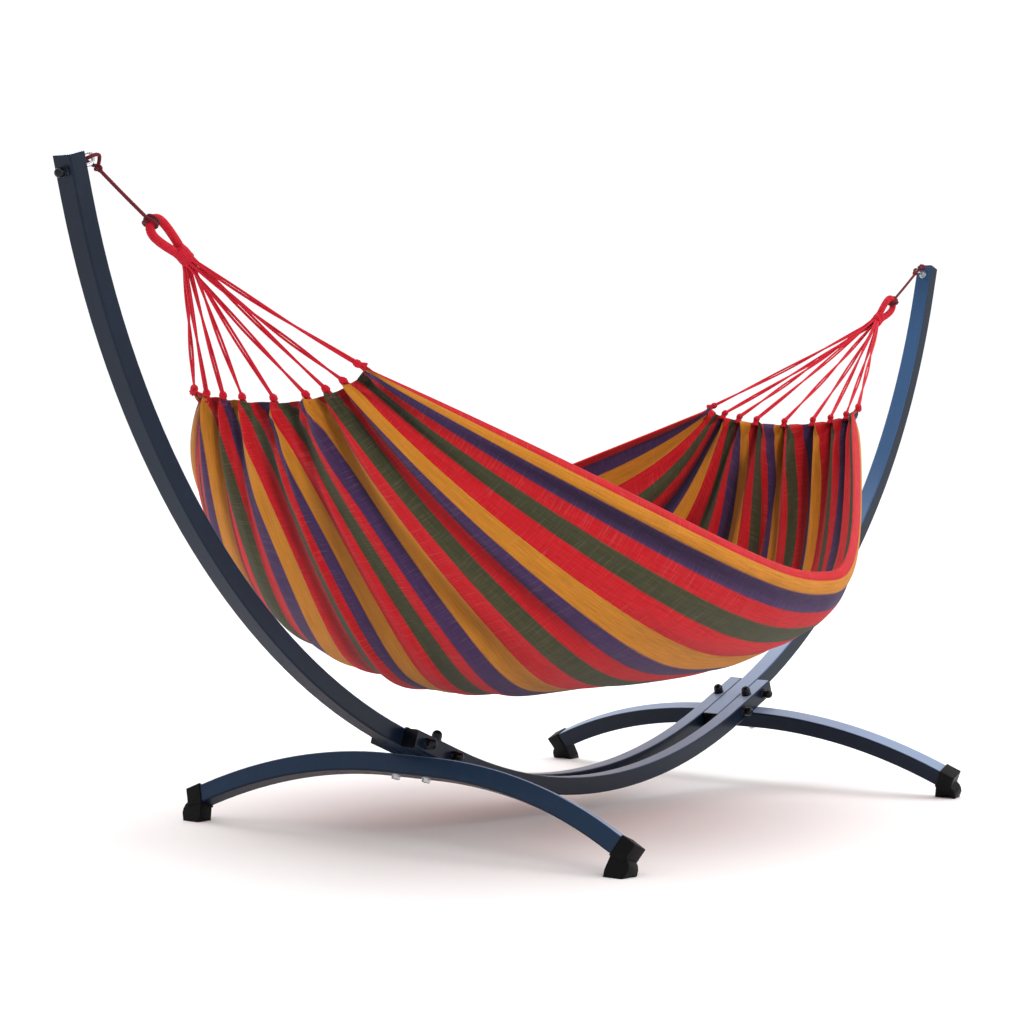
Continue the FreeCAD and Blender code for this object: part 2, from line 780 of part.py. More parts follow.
def simple(kind, name, placement, **sizes):
    """A Part primitive with its sizes tied to the sheet."""
    node = doc.addObject(kind, name)
    node.Label = name
    for prop, amount in sizes.items():
        bind(node, prop, amount)
    node.Placement = placement
    return node


# The loop's route from the bearing point, as (inwards, towards the front, up): up and over
# on the front side, through the hook's mouth, and back along the other side to the knot.
# Both sides stay near the swing axis, so the loop turns on the hook without touching it.
HOOK_LOOP = [
    (16.5, 5.5, -8.5),
    (18, 8, 6),
    (8, 13.5, 10),
    (-8, 14, 6),
    (-14.5, 9, 0.5),
    (-14.5, -9, 0.5),
    (-4, -12.5, 0),
    (10, -11, -3),
    (17.5, -5, -9.5),
]
EYE_LOOP = [(80, -8.8), (30, -21), (0, -13), (0, 13), (30, 21), (80, 8.8)]

eye_start = value("eye_distance")
ropes = []
for side, turned in SIDES.items():
    frame = turned * pull_frame
    inwards = turned * Placement(bearing, Rotation(Vector(0, 0, 1), 180))
    loop_points = [Vector(x, -faces_front(side) * y, z) for x, y, z in HOOK_LOOP]
    ropes.append(cord(f"hook_loop_{side}", loop_points, value("rope_diameter"), inwards))
    knot = simple(
        "Part::Ellipsoid", f"rope_knot_{side}",
        frame * Placement(Vector(value("knot_distance"), 0, 0), Rotation()),
        Radius1=size("knot_width") / 2, Radius2=size("knot_length") / 2, Radius3=size("knot_width") / 2)
    ropes.append(knot)
    rope_start = value("knot_distance") + value("knot_width") / 2 - 1
    rope_end = eye_start - value("eye_diameter") / 2 - value("rope_diameter")
    rope = simple(
        "Part::Cylinder", f"suspension_rope_{side}",
        frame * Placement(Vector(rope_start, 0, 0), INWARD), Radius=size("rope_diameter") / 2)
    rope.Height = rope_end - rope_start
    ropes.append(rope)
    hitch_radius = value("eye_diameter") / 2 + value("rope_diameter") / 2 + 0.3
    rings = []
    for step in (-1, 1):
        ring = Part.makeTorus(hitch_radius, value("rope_diameter") / 2)
        ring.Placement = frame * Placement(
            Vector(eye_start, 0, step * value("rope_diameter") * 0.52), Rotation())
        rings.append(ring)
    hitch = doc.addObject("Part::Feature", f"rope_hitch_{side}")
    hitch.Label = f"rope_hitch_{side}"
    hitch.Shape = Part.makeCompound(rings)
    ropes.append(hitch)
    eye_points = [Vector(eye_start + x, 0, z) for x, z in EYE_LOOP]
    ropes.append(cord(f"eye_loop_{side}", eye_points, value("eye_diameter"), frame))
    binding = simple(
        "Part::Cylinder", f"cord_binding_{side}",
        frame * Placement(Vector(value("binding_distance"), 0, 0), INWARD),
        Radius=size("binding_diameter") / 2, Height=size("binding_length"))
    ropes.append(binding)

# ------------------------------------------------------------------------- cloth bed

ROUNDING = 0.12        # softens the rim's lowest point at mid length
SECTION_POWER = 1.2
# How fast the rim narrows and rises, and the belly rises, towards each end
RIM_WIDTH_POWER = {"left": 2.1, "right": 1.07}
RIM_HEIGHT_POWER = {"left": 1.39, "right": 1.04}
BELLY_POWER = {"left": 4.4, "right": 6.8}


def bed_point(along, over):
    """A point of the bed: along runs -1..1 from end to end, over -1..1 from rim to rim.

    The rim falls and widens towards mid length, the belly line stays low and rises
    steeply near the ends, and a cosine joins the two in each cross-section.
    """
    side = "left" if along < 0 else "right"
    edge = "near" if over < 0 else "far"
    bent = math.sqrt(along ** 2 + ROUNDING ** 2) - ROUNDING
    bent /= math.sqrt(1 + ROUNDING ** 2) - ROUNDING
    end_width = value(f"{side}_end_half_width")
    spread = 1 - bent ** RIM_WIDTH_POWER[side]
    half_width = end_width + (value("bed_half_width") - end_width) * spread
    rim_rise = value(f"{side}_{edge}_rim") - value("rim_height")
    rim = value("rim_height") + rim_rise * bent ** RIM_HEIGHT_POWER[side]
    belly_rise = value(f"{side}_belly") - value("belly_height")
    belly = value("belly_height") + belly_rise * abs(along) ** BELLY_POWER[side]
    angle = over * math.pi / 2
    x = value("bed_middle") + value(f"{side}_reach") * along
    y = half_width * math.copysign(abs(math.sin(angle)) ** SECTION_POWER, angle)
    z = belly + (rim - belly) * (1 - math.cos(angle))
    return Vector(x, y, z)


def bed_inner_point(along, over):
    """The point above, moved to the cloth's upper side along the surface normal."""
    step = 1e-4
    low_a, high_a = max(along - step, -1), min(along + step, 1)
    low_o, high_o = max(over - step, -1), min(over + step, 1)
    tangent = bed_point(high_a, over) - bed_point(low_a, over)
    across_cloth = bed_point(along, high_o) - bed_point(along, low_o)
    normal = tangent.cross(across_cloth)
    normal.normalize()
    return bed_point(along, over) + normal * value("cloth_thickness")


def spline_surface(function, rows, columns):
    surface = Part.BSplineSurface()
    grid = [[function(a, o) for o in columns] for a in rows]
    surface.interpolate(grid)
    return surface.toShape()


def make_bed():
    rows = [-1 + 2 * i / 32 for i in range(33)]
    columns = [-1 + 2 * i / 20 for i in range(21)]
    outer = spline_surface(bed_point, rows, columns)
    inner = spline_surface(bed_inner_point, rows, columns)
    faces = [outer, inner]
    for first in outer.Edges:
        middle = first.valueAt((first.FirstParameter + first.LastParameter) / 2)
        nearest = min(inner.Edges, key=lambda edge: edge.distToShape(Part.Vertex(middle))[0])
        faces.append(Part.makeRuledSurface(first, nearest))
    shell = Part.makeShell(faces)
    shell.sewShape()
    solid = Part.makeSolid(Part.Shell(shell.Faces))
    if solid.Volume < 0:
        solid.reverse()
    node = doc.addObject("Part::Feature", "hammock_bed")
    node.Label = "hammock_bed"
    node.Shape = solid
    return node


bed = make_bed()

# ------------------------------------------------------------- clew cords and headers

# Where each cord ends as a share of the header's half width, and the direction in which
# it leaves the binding: eight cords round a ring, and the middle one in its centre.
CLEW_SPREAD = [-1, -0.84, -0.63, -0.39, 0, 0.39, 0.63, 0.84, 1]
CLEW_DIRECTIONS = [180, 225, 135, 270, None, 90, 45, 315, 0]
CLEW_RING = 12.4
clews = []
header_nodes = []
knot_radius = value("header_knot_width") / 2
for side, turned in SIDES.items():
    end = 1 if side == "right" else -1
    frame = turned * pull_frame
    start_distance = value("binding_distance") + value("binding_length")
    knots = []
    for number, (share, bearing_angle) in enumerate(zip(CLEW_SPREAD, CLEW_DIRECTIONS), start=1):
        over = math.copysign(2 / math.pi * math.asin(abs(share) ** (1 / SECTION_POWER)), share)
        edge = bed_point(end, over)
        start = Vector(start_distance, 0, 0)
        if bearing_angle is not None:
            # the pull frame's y axis points to -Y on the right side and to +Y on the left
            leaving = math.radians(bearing_angle)
            start.y = -end * CLEW_RING * math.cos(leaving)
            start.z = CLEW_RING * math.sin(leaving)
        start = frame.multVec(start)
        direction = start - edge
        direction.normalize()
        centre = edge + direction * (knot_radius - 2)
        knot = Part.makeSphere(knot_radius, centre)
        knots.append(knot)
        cord_end = centre + direction * (knot_radius - 1.5)
        clew = simple(
            "Part::Cylinder", f"clew_cord_{side}_{number}",
            Placement(cord_end, Rotation(Vector(0, 0, 1), start - cord_end)),
            Radius=size("clew_diameter") / 2)
        clew.Height = (start - cord_end).Length + 1
        clews.append(clew)
    node = doc.addObject("Part::Feature", f"header_knots_{side}")
    node.Label = f"header_knots_{side}"
    node.Shape = Part.makeCompound(knots)
    header_nodes.append(node)

# ------------------------------------------------------------------- check and export

doc.recompute()
nodes = (
    rails + list(arms.values()) + foot_tubes + boots
    + [rail_plugs, arm_lower_plugs, arm_top_caps]
    + [cross_bolts, cross_washers, cross_caps, foot_bolts, foot_washers, foot_caps]
    + hooks + [hook_washers, hook_nuts, hook_caps]
    + ropes + clews + header_nodes + [bed]
)
for item in doc.Objects:
    if "Invalid" in item.State or "Error" in item.State:
        raise RuntimeError(f"{item.Label} failed: {item.State}")
for node in nodes:
    shape = node.Shape
    if shape.isNull() or not shape.isValid() or not shape.Solids:
        raise RuntimeError(f"{node.Label} has no valid solid")
    if any(solid.Volume <= 0 for solid in shape.Solids):
        raise RuntimeError(f"{node.Label} has an inside-out solid")
for node in nodes:
    node.Shape.exportStep(f"parts/{node.Label}.step")
whole = Part.makeCompound([node.Shape for node in nodes]).BoundBox
print(len(nodes), "nodes, bounds", [round(v, 1) for v in (
    whole.XMin, whole.YMin, whole.ZMin, whole.XMax, whole.YMax, whole.ZMax)])
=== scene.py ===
# %% [markdown]
# # A hammock on its stand
# The hammock is a striped cloth bed hung by cords between two curved steel arms. The
# packed model holds every rigid part at its real place, so this script loads it first
# and then adds the looks: fabric, cords, moulded rubber, coated steel, light and camera.

# %% Load the packed frame
import math

import bmesh
import bpy
import numpy as np
from mathutils import Matrix, Vector


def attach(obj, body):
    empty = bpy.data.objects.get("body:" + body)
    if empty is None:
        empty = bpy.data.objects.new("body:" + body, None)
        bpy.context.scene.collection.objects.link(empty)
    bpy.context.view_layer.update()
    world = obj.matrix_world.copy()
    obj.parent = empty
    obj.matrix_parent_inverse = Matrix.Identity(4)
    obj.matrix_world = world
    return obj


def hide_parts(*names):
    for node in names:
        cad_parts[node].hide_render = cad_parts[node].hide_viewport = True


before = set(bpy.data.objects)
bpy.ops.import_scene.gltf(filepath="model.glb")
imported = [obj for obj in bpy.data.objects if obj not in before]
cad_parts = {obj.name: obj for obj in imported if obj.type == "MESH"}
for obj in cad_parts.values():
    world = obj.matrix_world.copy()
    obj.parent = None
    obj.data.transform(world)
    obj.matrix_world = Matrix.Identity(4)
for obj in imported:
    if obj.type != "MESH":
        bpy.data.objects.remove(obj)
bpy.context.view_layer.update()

# %% [markdown]
# ## Camera
# The object is seen from the front left, a little below the height of the arm tops, by
# a long lens, so that its two ends stay nearly the same size. The camera stands about
# five metres away, and its direction is given by a heading and a slight downward tilt.

# %% Camera
EYE = Vector((-4.889, -3.267, 0.862))
HEADING = math.radians(35.57)
TILT = math.radians(-1.79)
ROLL = math.radians(0.80)


def add_object(name, data):
    added = bpy.data.objects.new(name, data)
    bpy.context.scene.collection.objects.link(added)
    return added


def facing(direction):
    return Vector(direction).to_track_quat("-Z", "Y").to_matrix().to_4x4()


camera_data = bpy.data.cameras.new("camera")
camera_data.sensor_width = 36
camera_data.lens = 90.2
camera = add_object("camera", camera_data)
forward = (math.cos(HEADING) * math.cos(TILT), math.sin(HEADING) * math.cos(TILT), math.sin(TILT))
camera.matrix_world = Matrix.Translation(EYE) @ facing(forward) @ Matrix.Rotation(ROLL, 4, "Z")
bpy.context.scene.camera = camera
print("lens", round(camera_data.lens, 1), "mm at", [round(v, 3) for v in EYE])

# %% [markdown]
# ## Shader arithmetic
# A procedural finish is a formula over position. Wiring Math nodes by hand hides the
# formula, so a small class wraps one socket and lets ordinary Python operators add the
# nodes. Colours don't go through it, because a Math node would turn them grey: they go
# through Mix nodes instead.

# %% One socket with operators
class Signal:
    """A number at every point of a surface. Arithmetic on it adds Math nodes."""

    def __init__(self, finish, socket):
        self.finish = finish
        self.socket = socket

    def maths(self, operation, *terms):
        return self.finish.node("ShaderNodeMath", {"operation": operation}, dict(enumerate(terms)))

    def __add__(self, other):
        return self.maths("ADD", self, other)

    def __sub__(self, other):
        return self.maths("SUBTRACT", self, other)

    def __rsub__(self, other):
        return self.maths("SUBTRACT", other, self)

    def __mul__(self, other):
        return self.maths("MULTIPLY", self, other)

    __radd__ = __add__
    __rmul__ = __mul__

    def sine(self):
        return self.maths("SINE", self)

    def size(self):
        return self.maths("ABSOLUTE", self)

    def fraction(self):
        return self.maths("FRACT", self)

    def between(self, low, high):
        """0 below low, 1 above high, and smooth in between."""
        return self.finish.node(
            "ShaderNodeMapRange", {"interpolation_type": "SMOOTHSTEP"}, {0: self, 1: low, 2: high})


print("Signal:", Signal.__doc__)


# %% One material made of nodes
class Finish:
    """A material under construction; node() adds any node and gives back its output."""

    def __init__(self, name):
        self.material = bpy.data.materials.new(name)
        self.material.use_nodes = True
        self.tree = self.material.node_tree
        self.shader = self.tree.nodes["Principled BSDF"]

    def feed(self, socket, value):
        if isinstance(value, Signal):
            self.tree.links.new(value.socket, socket)
        else:
            socket.default_value = value

    def node(self, kind, settings=None, inputs=None, output=0):
        """Add a node: its settings first, then numbers or links into its sockets."""
        node = self.tree.nodes.new(kind)
        for key, value in (settings or {}).items():
            if key == "stops":
                ramp = node.color_ramp
                while len(ramp.elements) < len(value):
                    ramp.elements.new(0.5)
                for element, (place, colour) in zip(ramp.elements, value):
                    element.position = place
                    element.color = (*colour, 1)
            else:
                setattr(node, key, value)
        for key, value in (inputs or {}).items():
            self.feed(node.inputs[key], value)
        return Signal(self, node.outputs[output])

    def part(self, vector, axis):
        return self.node("ShaderNodeSeparateXYZ", {}, {0: vector}, output=axis)

    def place(self, output="Object"):
        return self.node("ShaderNodeTexCoord", output=output)

    def stretched(self, vector, scale):
        return self.node("ShaderNodeMapping", {}, {"Vector": vector, "Scale": scale})

    def noise(self, vector, scale, detail=3.0, roughness=0.5):
        return self.node("ShaderNodeTexNoise", {}, {
            "Vector": vector, "Scale": scale, "Detail": detail, "Roughness": roughness})

    def mixed(self, mask, first, second, blend="MIX"):
        """The first colour where the mask is 0, and the second where it is 1."""
        return self.node("ShaderNodeMix", {"data_type": "RGBA", "blend_type": blend},
                         {0: mask, 6: first, 7: second}, output=2)

    def bump(self, height, distance, strength=1.0, under=None):
        inputs = {"Height": height, "Distance": distance, "Strength": strength}
        if under is not None:
            inputs["Normal"] = under
        return self.node("ShaderNodeBump", {}, inputs)

    def surface(self, **sockets):
        for name, value in sockets.items():
            self.feed(self.shader.inputs[name.replace("_", " ")], value)
        return self.material


print("Finish:", Finish.__doc__)


# %% Colours
def tint(red, green, blue):
    """A colour from 0 to 255 display values, turned to the renderer's linear light."""
    linear = [((value / 255 + 0.055) / 1.055) ** 2.4 if value > 10 else value / 255 / 12.92
              for value in (red, green, blue)]
    return (*linear, 1.0)


print("middle grey in linear light", round(tint(128, 128, 128)[0], 3))

# %% [markdown]
# ## Coated steel, rubber, plastic and zinc
# The tubes are powder coated: a dark blue-grey film whose surface ripples a little like
# orange peel, with slightly duller patches where it has been handled. Faces that look up
# get a painted pale-blue highlight for the sky they reflect, and slanting faces painted blue
# light, more on the arms than on the feet, so the normal's height drives the colour and there
# are two steels, the arms' one with more painted light. The boots and plugs are moulded black
# rubber and plastic with a fine grain. The bolts and hooks are zinc plated, so they are true
# metals with a faint mottle from the plating bath.

# %% Powder-coated steel
def make_coated_steel(name, lean):
    """Dark powder coat, with painted light on faces that look up; lean: how much on slanting faces.
    """
    finish = Finish(name)
    where = finish.place()
    peel = finish.noise(where, 420, 2.0)
    cloud = finish.noise(where, 5.0, 4.0)
    handled = finish.noise(where, 38, 5.0, 0.65).between(0.52, 0.75)
    upright = finish.node("ShaderNodeNewGeometry", output=1)
    level = finish.part(upright, 2)
    body = finish.mixed(cloud, tint(9, 19, 33), tint(15, 30, 50))
    worn = finish.mixed(handled * 0.16, body, tint(44, 58, 80))
    # Painted light: slanting faces are mixed towards a lit blue by lean, more in the arms' copy
    leaning = finish.mixed(level.between(0.04, 0.40) * lean, worn, tint(62, 104, 152))
    # Painted highlight: faces that look up are mixed towards pale blue, standing in for the sky
    # they reflect
    painted_sky_highlight = finish.mixed(level.between(0.55, 0.98) * 0.80, leaning, tint(166, 188, 220))
    return finish.surface(
        Base_Color=painted_sky_highlight,
        Roughness=handled * 0.14 + cloud * 0.08 + 0.34,
        Normal=finish.bump(peel, 0.0006, 0.30),
        Specular_IOR_Level=0.12,
        Coat_Weight=0.25,
        Coat_Roughness=0.16,
        Coat_IOR=1.33,
    )


coated_steel = make_coated_steel("coated_steel", 0.14)
arm_steel_painted_lighter = make_coated_steel("arm_steel_painted_lighter", 0.62)
print("steels", coated_steel.name, arm_steel_painted_lighter.name)


# %% Moulded black parts
def make_moulded(name, colour, roughness, grain, depth, shine):
    """Dark body with a fine grain in its bump, and paler, duller scuffs."""
    finish = Finish(name)
    where = finish.place()
    speck = finish.noise(where, grain, 3.0, 0.6)
    scuff = finish.noise(finish.stretched(where, (1.0, 1.0, 4.0)), 60, 5.0, 0.7).between(0.55, 0.8)
    body = finish.mixed(scuff * 0.4, colour, tint(38, 40, 46))
    return finish.surface(
        Base_Color=body,
        Roughness=scuff * 0.18 + roughness,
        Normal=finish.bump(speck, depth, 0.6),
        Specular_IOR_Level=shine,
    )


boot_rubber = make_moulded(
    "boot_rubber", tint(5, 5, 7), roughness=0.46, grain=900, depth=0.0003, shine=0.12)
plug_plastic = make_moulded(
    "plug_plastic", tint(7, 10, 17), roughness=0.26, grain=1400, depth=0.00015, shine=0.25)
print("mouldings", boot_rubber.name, plug_plastic.name)


# %% Zinc-plated fasteners
def make_zinc():
    """A metal with a mottled roughness and fine turning marks across its own z axis."""
    finish = Finish("zinc_plating")
    where = finish.place()
    mottle = finish.noise(where, 260, 4.0, 0.6)
    turned = (finish.part(where, 2) * 5200).sine()
    body = finish.mixed(mottle, tint(186, 190, 196), tint(226, 228, 230))
    return finish.surface(
        Base_Color=body,
        Metallic=1.0,
        Roughness=mottle * 0.25 + 0.18,
        Normal=finish.bump(mottle + turned * 0.15, 0.0002, 0.5),
    )


zinc_plating = make_zinc()
print("plating", zinc_plating.name)

# %% Give the CAD parts their finishes
HARD_FINISHES = {
    "rail_end_plugs": plug_plastic, "arm_lower_plugs": plug_plastic, "arm_top_caps": coated_steel,
    "cap_nuts": plug_plastic, "rail": coated_steel, "arm": arm_steel_painted_lighter, "foot_tube": coated_steel,
    "boot": boot_rubber, "bolt": zinc_plating, "washer": zinc_plating, "nuts": zinc_plating,
}
painted = 0
for node_name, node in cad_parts.items():
    found = [material for word, material in HARD_FINISHES.items() if word in node_name]
    if found:
        node.data.materials.clear()
        node.data.materials.append(found[0])
        painted += 1
print("painted", painted, "CAD parts")

# %% [markdown]
# ## Meshes from arrays
# Each soft piece is a surface worked out as arrays: a grid of points from two parameters.
# These helpers turn such a grid into a closed mesh with its faces outwards, and keep a
# UV map in metres, so that a weave has its real size wherever the piece bends.

# %% Grid helpers
def grid_faces(rows, columns, wrap_rows=False, wrap_columns=False, first=0):
    """Quads between neighbours of a rows by columns grid, whose last line can join its first."""
    i = np.arange(rows if wrap_rows else rows - 1)[:, None]
    j = np.arange(columns if wrap_columns else columns - 1)[None, :]
    after_i, after_j = (i + 1) % rows, (j + 1) % columns
    row, next_row = i * columns, after_i * columns
    quads = np.stack([row + j, next_row + j, next_row + after_j, row + after_j], -1)
    return (quads.reshape(-1, 4) + first).tolist()


def make_piece(name, points, faces, material, uv=None):
    """A smooth mesh at the origin from points in metres, with its faces turned outwards."""
    mesh = bpy.data.meshes.new(name)
    mesh.from_pydata(np.asarray(points, float).reshape(-1, 3).tolist(), [], faces)
    if uv is not None:
        corner = np.empty(len(mesh.loops), np.int32)
        mesh.loops.foreach_get("vertex_index", corner)
        layer = mesh.uv_layers.new(name="metres")
        layer.data.foreach_set("uv", np.asarray(uv, float).reshape(-1, 2)[corner].ravel())
    work = bmesh.new()
    work.from_mesh(mesh)
    bmesh.ops.recalc_face_normals(work, faces=work.faces)
    work.to_mesh(mesh)
    work.free()
    mesh.polygons.foreach_set("use_smooth", [True] * len(mesh.polygons))
    mesh.materials.append(material)
    piece = add_object(name, mesh)
    # Blender adds .001 to a name that the packed frame has as well
    return piece


def spline_line(points, steps=14):
    """The points of the NURBS curve that has the given control points, as an array."""
    curve = bpy.data.curves.new("route", "CURVE")
    curve.dimensions = "3D"
    curve.resolution_u = steps
    spline = curve.splines.new("NURBS")
    spline.points.add(len(points) - 1)
    for control, point in zip(spline.points, points):
        control.co = (*point, 1)
    spline.order_u = 3
    spline.use_endpoint_u = True
    holder = add_object("route", curve)
    mesh = bpy.data.meshes.new_from_object(holder)
    line = np.array([vertex.co for vertex in mesh.vertices])
    bpy.data.objects.remove(holder)
    bpy.data.curves.remove(curve)
    bpy.data.meshes.remove(mesh)
    return line


def even_steps(line, gap):
    """Points at equal distances of about the gap along a line, and their distances."""
    lengths = np.r_[0, np.cumsum(np.linalg.norm(np.diff(line, axis=0), axis=1))]
    marks = np.linspace(0, lengths[-1], max(int(round(lengths[-1] / gap)), 4) + 1)
    return np.stack([np.interp(marks, lengths, line[:, k]) for k in range(3)], -1), marks


def unit(vectors):
    return vectors / np.linalg.norm(vectors, axis=-1)[..., None]


def frames_along(line):
    """Tangent and two square directions at each point, turning as little as possible."""
    tangent = unit(np.gradient(line, axis=0))
    side = np.cross(tangent[0], (0, 0, 1) if abs(tangent[0][2]) < 0.8 else (0, 1, 0))
    sides = []
    for direction in tangent:
        side = side - direction * side.dot(direction)
        side = side / np.linalg.norm(side)
        sides.append(side)
    sides = np.array(sides)
    return tangent, sides, np.cross(tangent, sides)


def angles(around):
    """Even angles round a circle, as one row."""
    return np.linspace(0, 2 * np.pi, around, endpoint=False)[None, :]


def spokes(side, up, around):
    """Unit directions round each point of a line: side cos a + up sin a."""
    angle = angles(around)[..., None]
    return side[:, None] * np.cos(angle) + up[:, None] * np.sin(angle)


def tube_along(line, radius, around):
    """Rings of points: centre + radius times the spokes. radius can vary on the grid."""
    _, side, up = frames_along(line)
    radius = np.broadcast_to(radius, (len(line), around))
    return line[:, None] + spokes(side, up, around) * radius[..., None]


def closed_tube(rings, first=0):
    """Faces of a tube of rings with a flat many-sided face closing each end."""
    rows, columns = rings.shape[:2]
    faces = grid_faces(rows, columns, wrap_columns=True, first=first)
    last = first + (rows - 1) * columns
    return faces + [list(range(first, first + columns)), list(range(last, last + columns))]


def tube_uv(marks, around, girth):
    """Metres along the tube, and metres round it."""
    turn = np.linspace(0, girth, around, endpoint=False)
    return np.stack(np.broadcast_arrays(marks[:, None], turn[None, :]), -1)


def join_tubes(tubes):
    """The points and faces of several closed tubes, each given by its rings."""
    points, faces, count = [], [], 0
    for rings in tubes:
        points.append(rings.reshape(-1, 3))
        faces += closed_tube(rings, count)
        count += len(points[-1])
    return np.concatenate(points), faces


print("grid helpers ready")

# %% [markdown]
# ## Cord and rope finishes
# The thick red cords are cotton: matt, fuzzy, made of twisted yarns that show as fine
# slanting lines. The thin rope that hangs the bed is a braided maroon cord with a slight
# shine. Both read the UV map in metres, so the lay of the yarn follows every bend.

# %% Yarn finishes
def make_yarn(name, dark, light, pitch, slant, depth, roughness, sheen):
    """Slanting yarn lines: the sine of a sum of the distances along and round the cord."""
    finish = Finish(name)
    uv = finish.place("UV")
    along, across = finish.part(uv, 0), finish.part(uv, 1)
    wobble = finish.noise(finish.place(), 240, 2.0)
    twist = ((along + across * slant) * (2 * math.pi / pitch) + wobble * 2.2).sine()
    fuzz = finish.noise(finish.place(), 1500, 3.0, 0.7)
    patch = finish.noise(finish.place(), 55, 3.0)
    body = finish.mixed(twist * 0.20 + 0.62, dark, light)
    mottled = finish.mixed(patch.between(0.35, 0.75) * 0.35, body, dark)
    return finish.surface(
        Base_Color=mottled,
        Roughness=fuzz * 0.2 + roughness,
        Normal=finish.bump(twist * 0.6 + fuzz * 0.5, depth, 0.8),
        Sheen_Weight=sheen,
        Sheen_Roughness=0.5,
        Specular_IOR_Level=0.2,
    )


red_yarn = make_yarn(
    "red_yarn", tint(176, 10, 32), tint(220, 22, 50),
    pitch=0.0028, slant=0.9, depth=0.0004, roughness=0.78, sheen=0.08)
wrapped_yarn = make_yarn(
    "wrapped_yarn", tint(160, 8, 28), tint(212, 20, 46),
    pitch=0.0034, slant=0.12, depth=0.0006, roughness=0.78, sheen=0.08)
maroon_braid = make_yarn(
    "maroon_braid", tint(70, 10, 20), tint(116, 24, 36),
    pitch=0.0026, slant=1.3, depth=0.0004, roughness=0.55, sheen=0.05)
print("yarn finishes", [m.name for m in (red_yarn, wrapped_yarn, maroon_braid)])

# %% [markdown]
# ## The hanging line
# At each end a short rope goes over the hook bolt in a loop, is knotted, runs down to a
# thick wrapped eye and is hitched round it. The eye's two legs are bound together, and
# nine doubled cords fan out from there to the cloth. Everything on a side is placed in a
# frame whose first axis points down the line of pull.

# %% The pull frame at each end
# The rope slopes by PULL from the point where its loop bears on the hook: BEARING, as x and z
PULL = math.radians(32)
BEARING = (1.62111, 1.33309)
ENDS = {"right": 1, "left": -1}


def on_pull(end, points):
    """Points given along the pull, to the side, and square to both, in world metres."""
    points = np.asarray(points, float)
    down = np.array([-end * math.cos(PULL), 0, -math.sin(PULL)])
    aside = np.array([0, -end, 0])
    over = np.array([-end * math.sin(PULL), 0, math.cos(PULL)])
    origin = np.array([end * BEARING[0], 0, BEARING[1]])
    return origin + points[..., 0:1] * down + points[..., 1:2] * aside + points[..., 2:3] * over


# Control points: the loop's about the bearing point, the eye's about its top
HOOK_LOOP = np.array([
    (16.5, 5.5, -8.5), (18, 8, 6), (8, 13.5, 10), (-8, 14, 6), (-14.5, 9, 0.5),
    (-14.5, -9, 0.5), (-4, -12.5, 0), (10, -11, -3), (17.5, -5, -9.5)]) / 1000
EYE_LOOP = np.array([(80, -8.8), (30, -21), (0, -13), (0, 13), (30, 21), (80, 8.8)]) / 1000
EYE_DISTANCE = 0.186
ROPE_ROUTE = [(0.0315, 0, 0), (0.078, 0, -0.0006), (0.125, 0, -0.0006), (0.1705, 0, 0)]


def hook_loop_route(end):
    return HOOK_LOOP * (-end, -1, 1) + (end * BEARING[0], 0, BEARING[1])


def eye_loop_route(end):
    flat = np.c_[EYE_LOOP[:, 0] + EYE_DISTANCE, np.zeros(len(EYE_LOOP)), EYE_LOOP[:, 1]]
    return on_pull(end, flat)


print("bearing points", [np.round(on_pull(end, (0, 0, 0)), 4).tolist() for end in ENDS.values()])


# %% Braided rope
ROPE_RADIUS, BRAID_PITCH = 0.0035, 0.0075


def braid_rings(line, marks, around):
    """Radius times 0.93 + 0.12 of |sin| of one spiral times |sin| of the opposite spiral."""
    angle = angles(around)
    turn = marks[:, None] / BRAID_PITCH * np.pi
    weave = np.abs(np.sin(turn + 3 * angle)) * np.abs(np.sin(turn - 3 * angle))
    return tube_along(line, ROPE_RADIUS * (0.93 + 0.12 * weave), around)


def make_braided(name, route):
    """A rope along a route; gives the piece, its centre line and its length."""
    around = 24
    line, marks = even_steps(spline_line(route), 0.0011)
    rings = braid_rings(line, marks, around)
    piece = make_piece(name, rings, closed_tube(rings), maroon_braid,
                       tube_uv(marks, around, 2 * math.pi * ROPE_RADIUS))
    return piece, line, marks[-1]


for side, end in ENDS.items():
    for name, node, route, length, far_end in (
            ("loop_on_hook", "hook_loop", hook_loop_route(end), 0.103, "knot"),
            ("hanging_rope", "suspension_rope", on_pull(end, ROPE_ROUTE), 0.139, "object")):
        piece, line, measured = make_braided(f"{name}_{side}", route)
        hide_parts(f"{node}_{side}")
        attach(piece, "hammock")
        print(piece.name, round(measured, 4), "m")


# %% Knot and hitch in the rope
def make_rope_knot(side, end):
    """A trefoil: (cos t - 2 cos 2t, sin t + 2 sin 2t, -sin 3t), scaled to the knot's size."""
    steps, around, radius = 150, 16, 0.0032
    scale, distance, length, girth = (0.0021, 0.0019, 0.0026), 0.0245, 0.09, 0.020
    t = np.linspace(0, 2 * np.pi, steps, endpoint=False)
    coil = np.stack([
        np.cos(t) - 2 * np.cos(2 * t), np.sin(t) + 2 * np.sin(2 * t), -np.sin(3 * t)], -1)
    line = on_pull(end, coil * scale + (distance, 0, 0))
    tangent = unit(np.roll(line, -1, 0) - np.roll(line, 1, 0))
    outward = line - line.mean(0)
    outward = unit(outward - tangent * (outward * tangent).sum(1)[:, None])
    points = line[:, None] + spokes(outward, np.cross(tangent, outward), around) * radius
    piece = make_piece(f"knot_below_hook_{side}", points, grid_faces(steps, around, True, True),
                       maroon_braid, tube_uv(np.linspace(0, length, steps), around, girth))
    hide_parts(f"rope_knot_{side}")
    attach(piece, "hammock")
    return piece


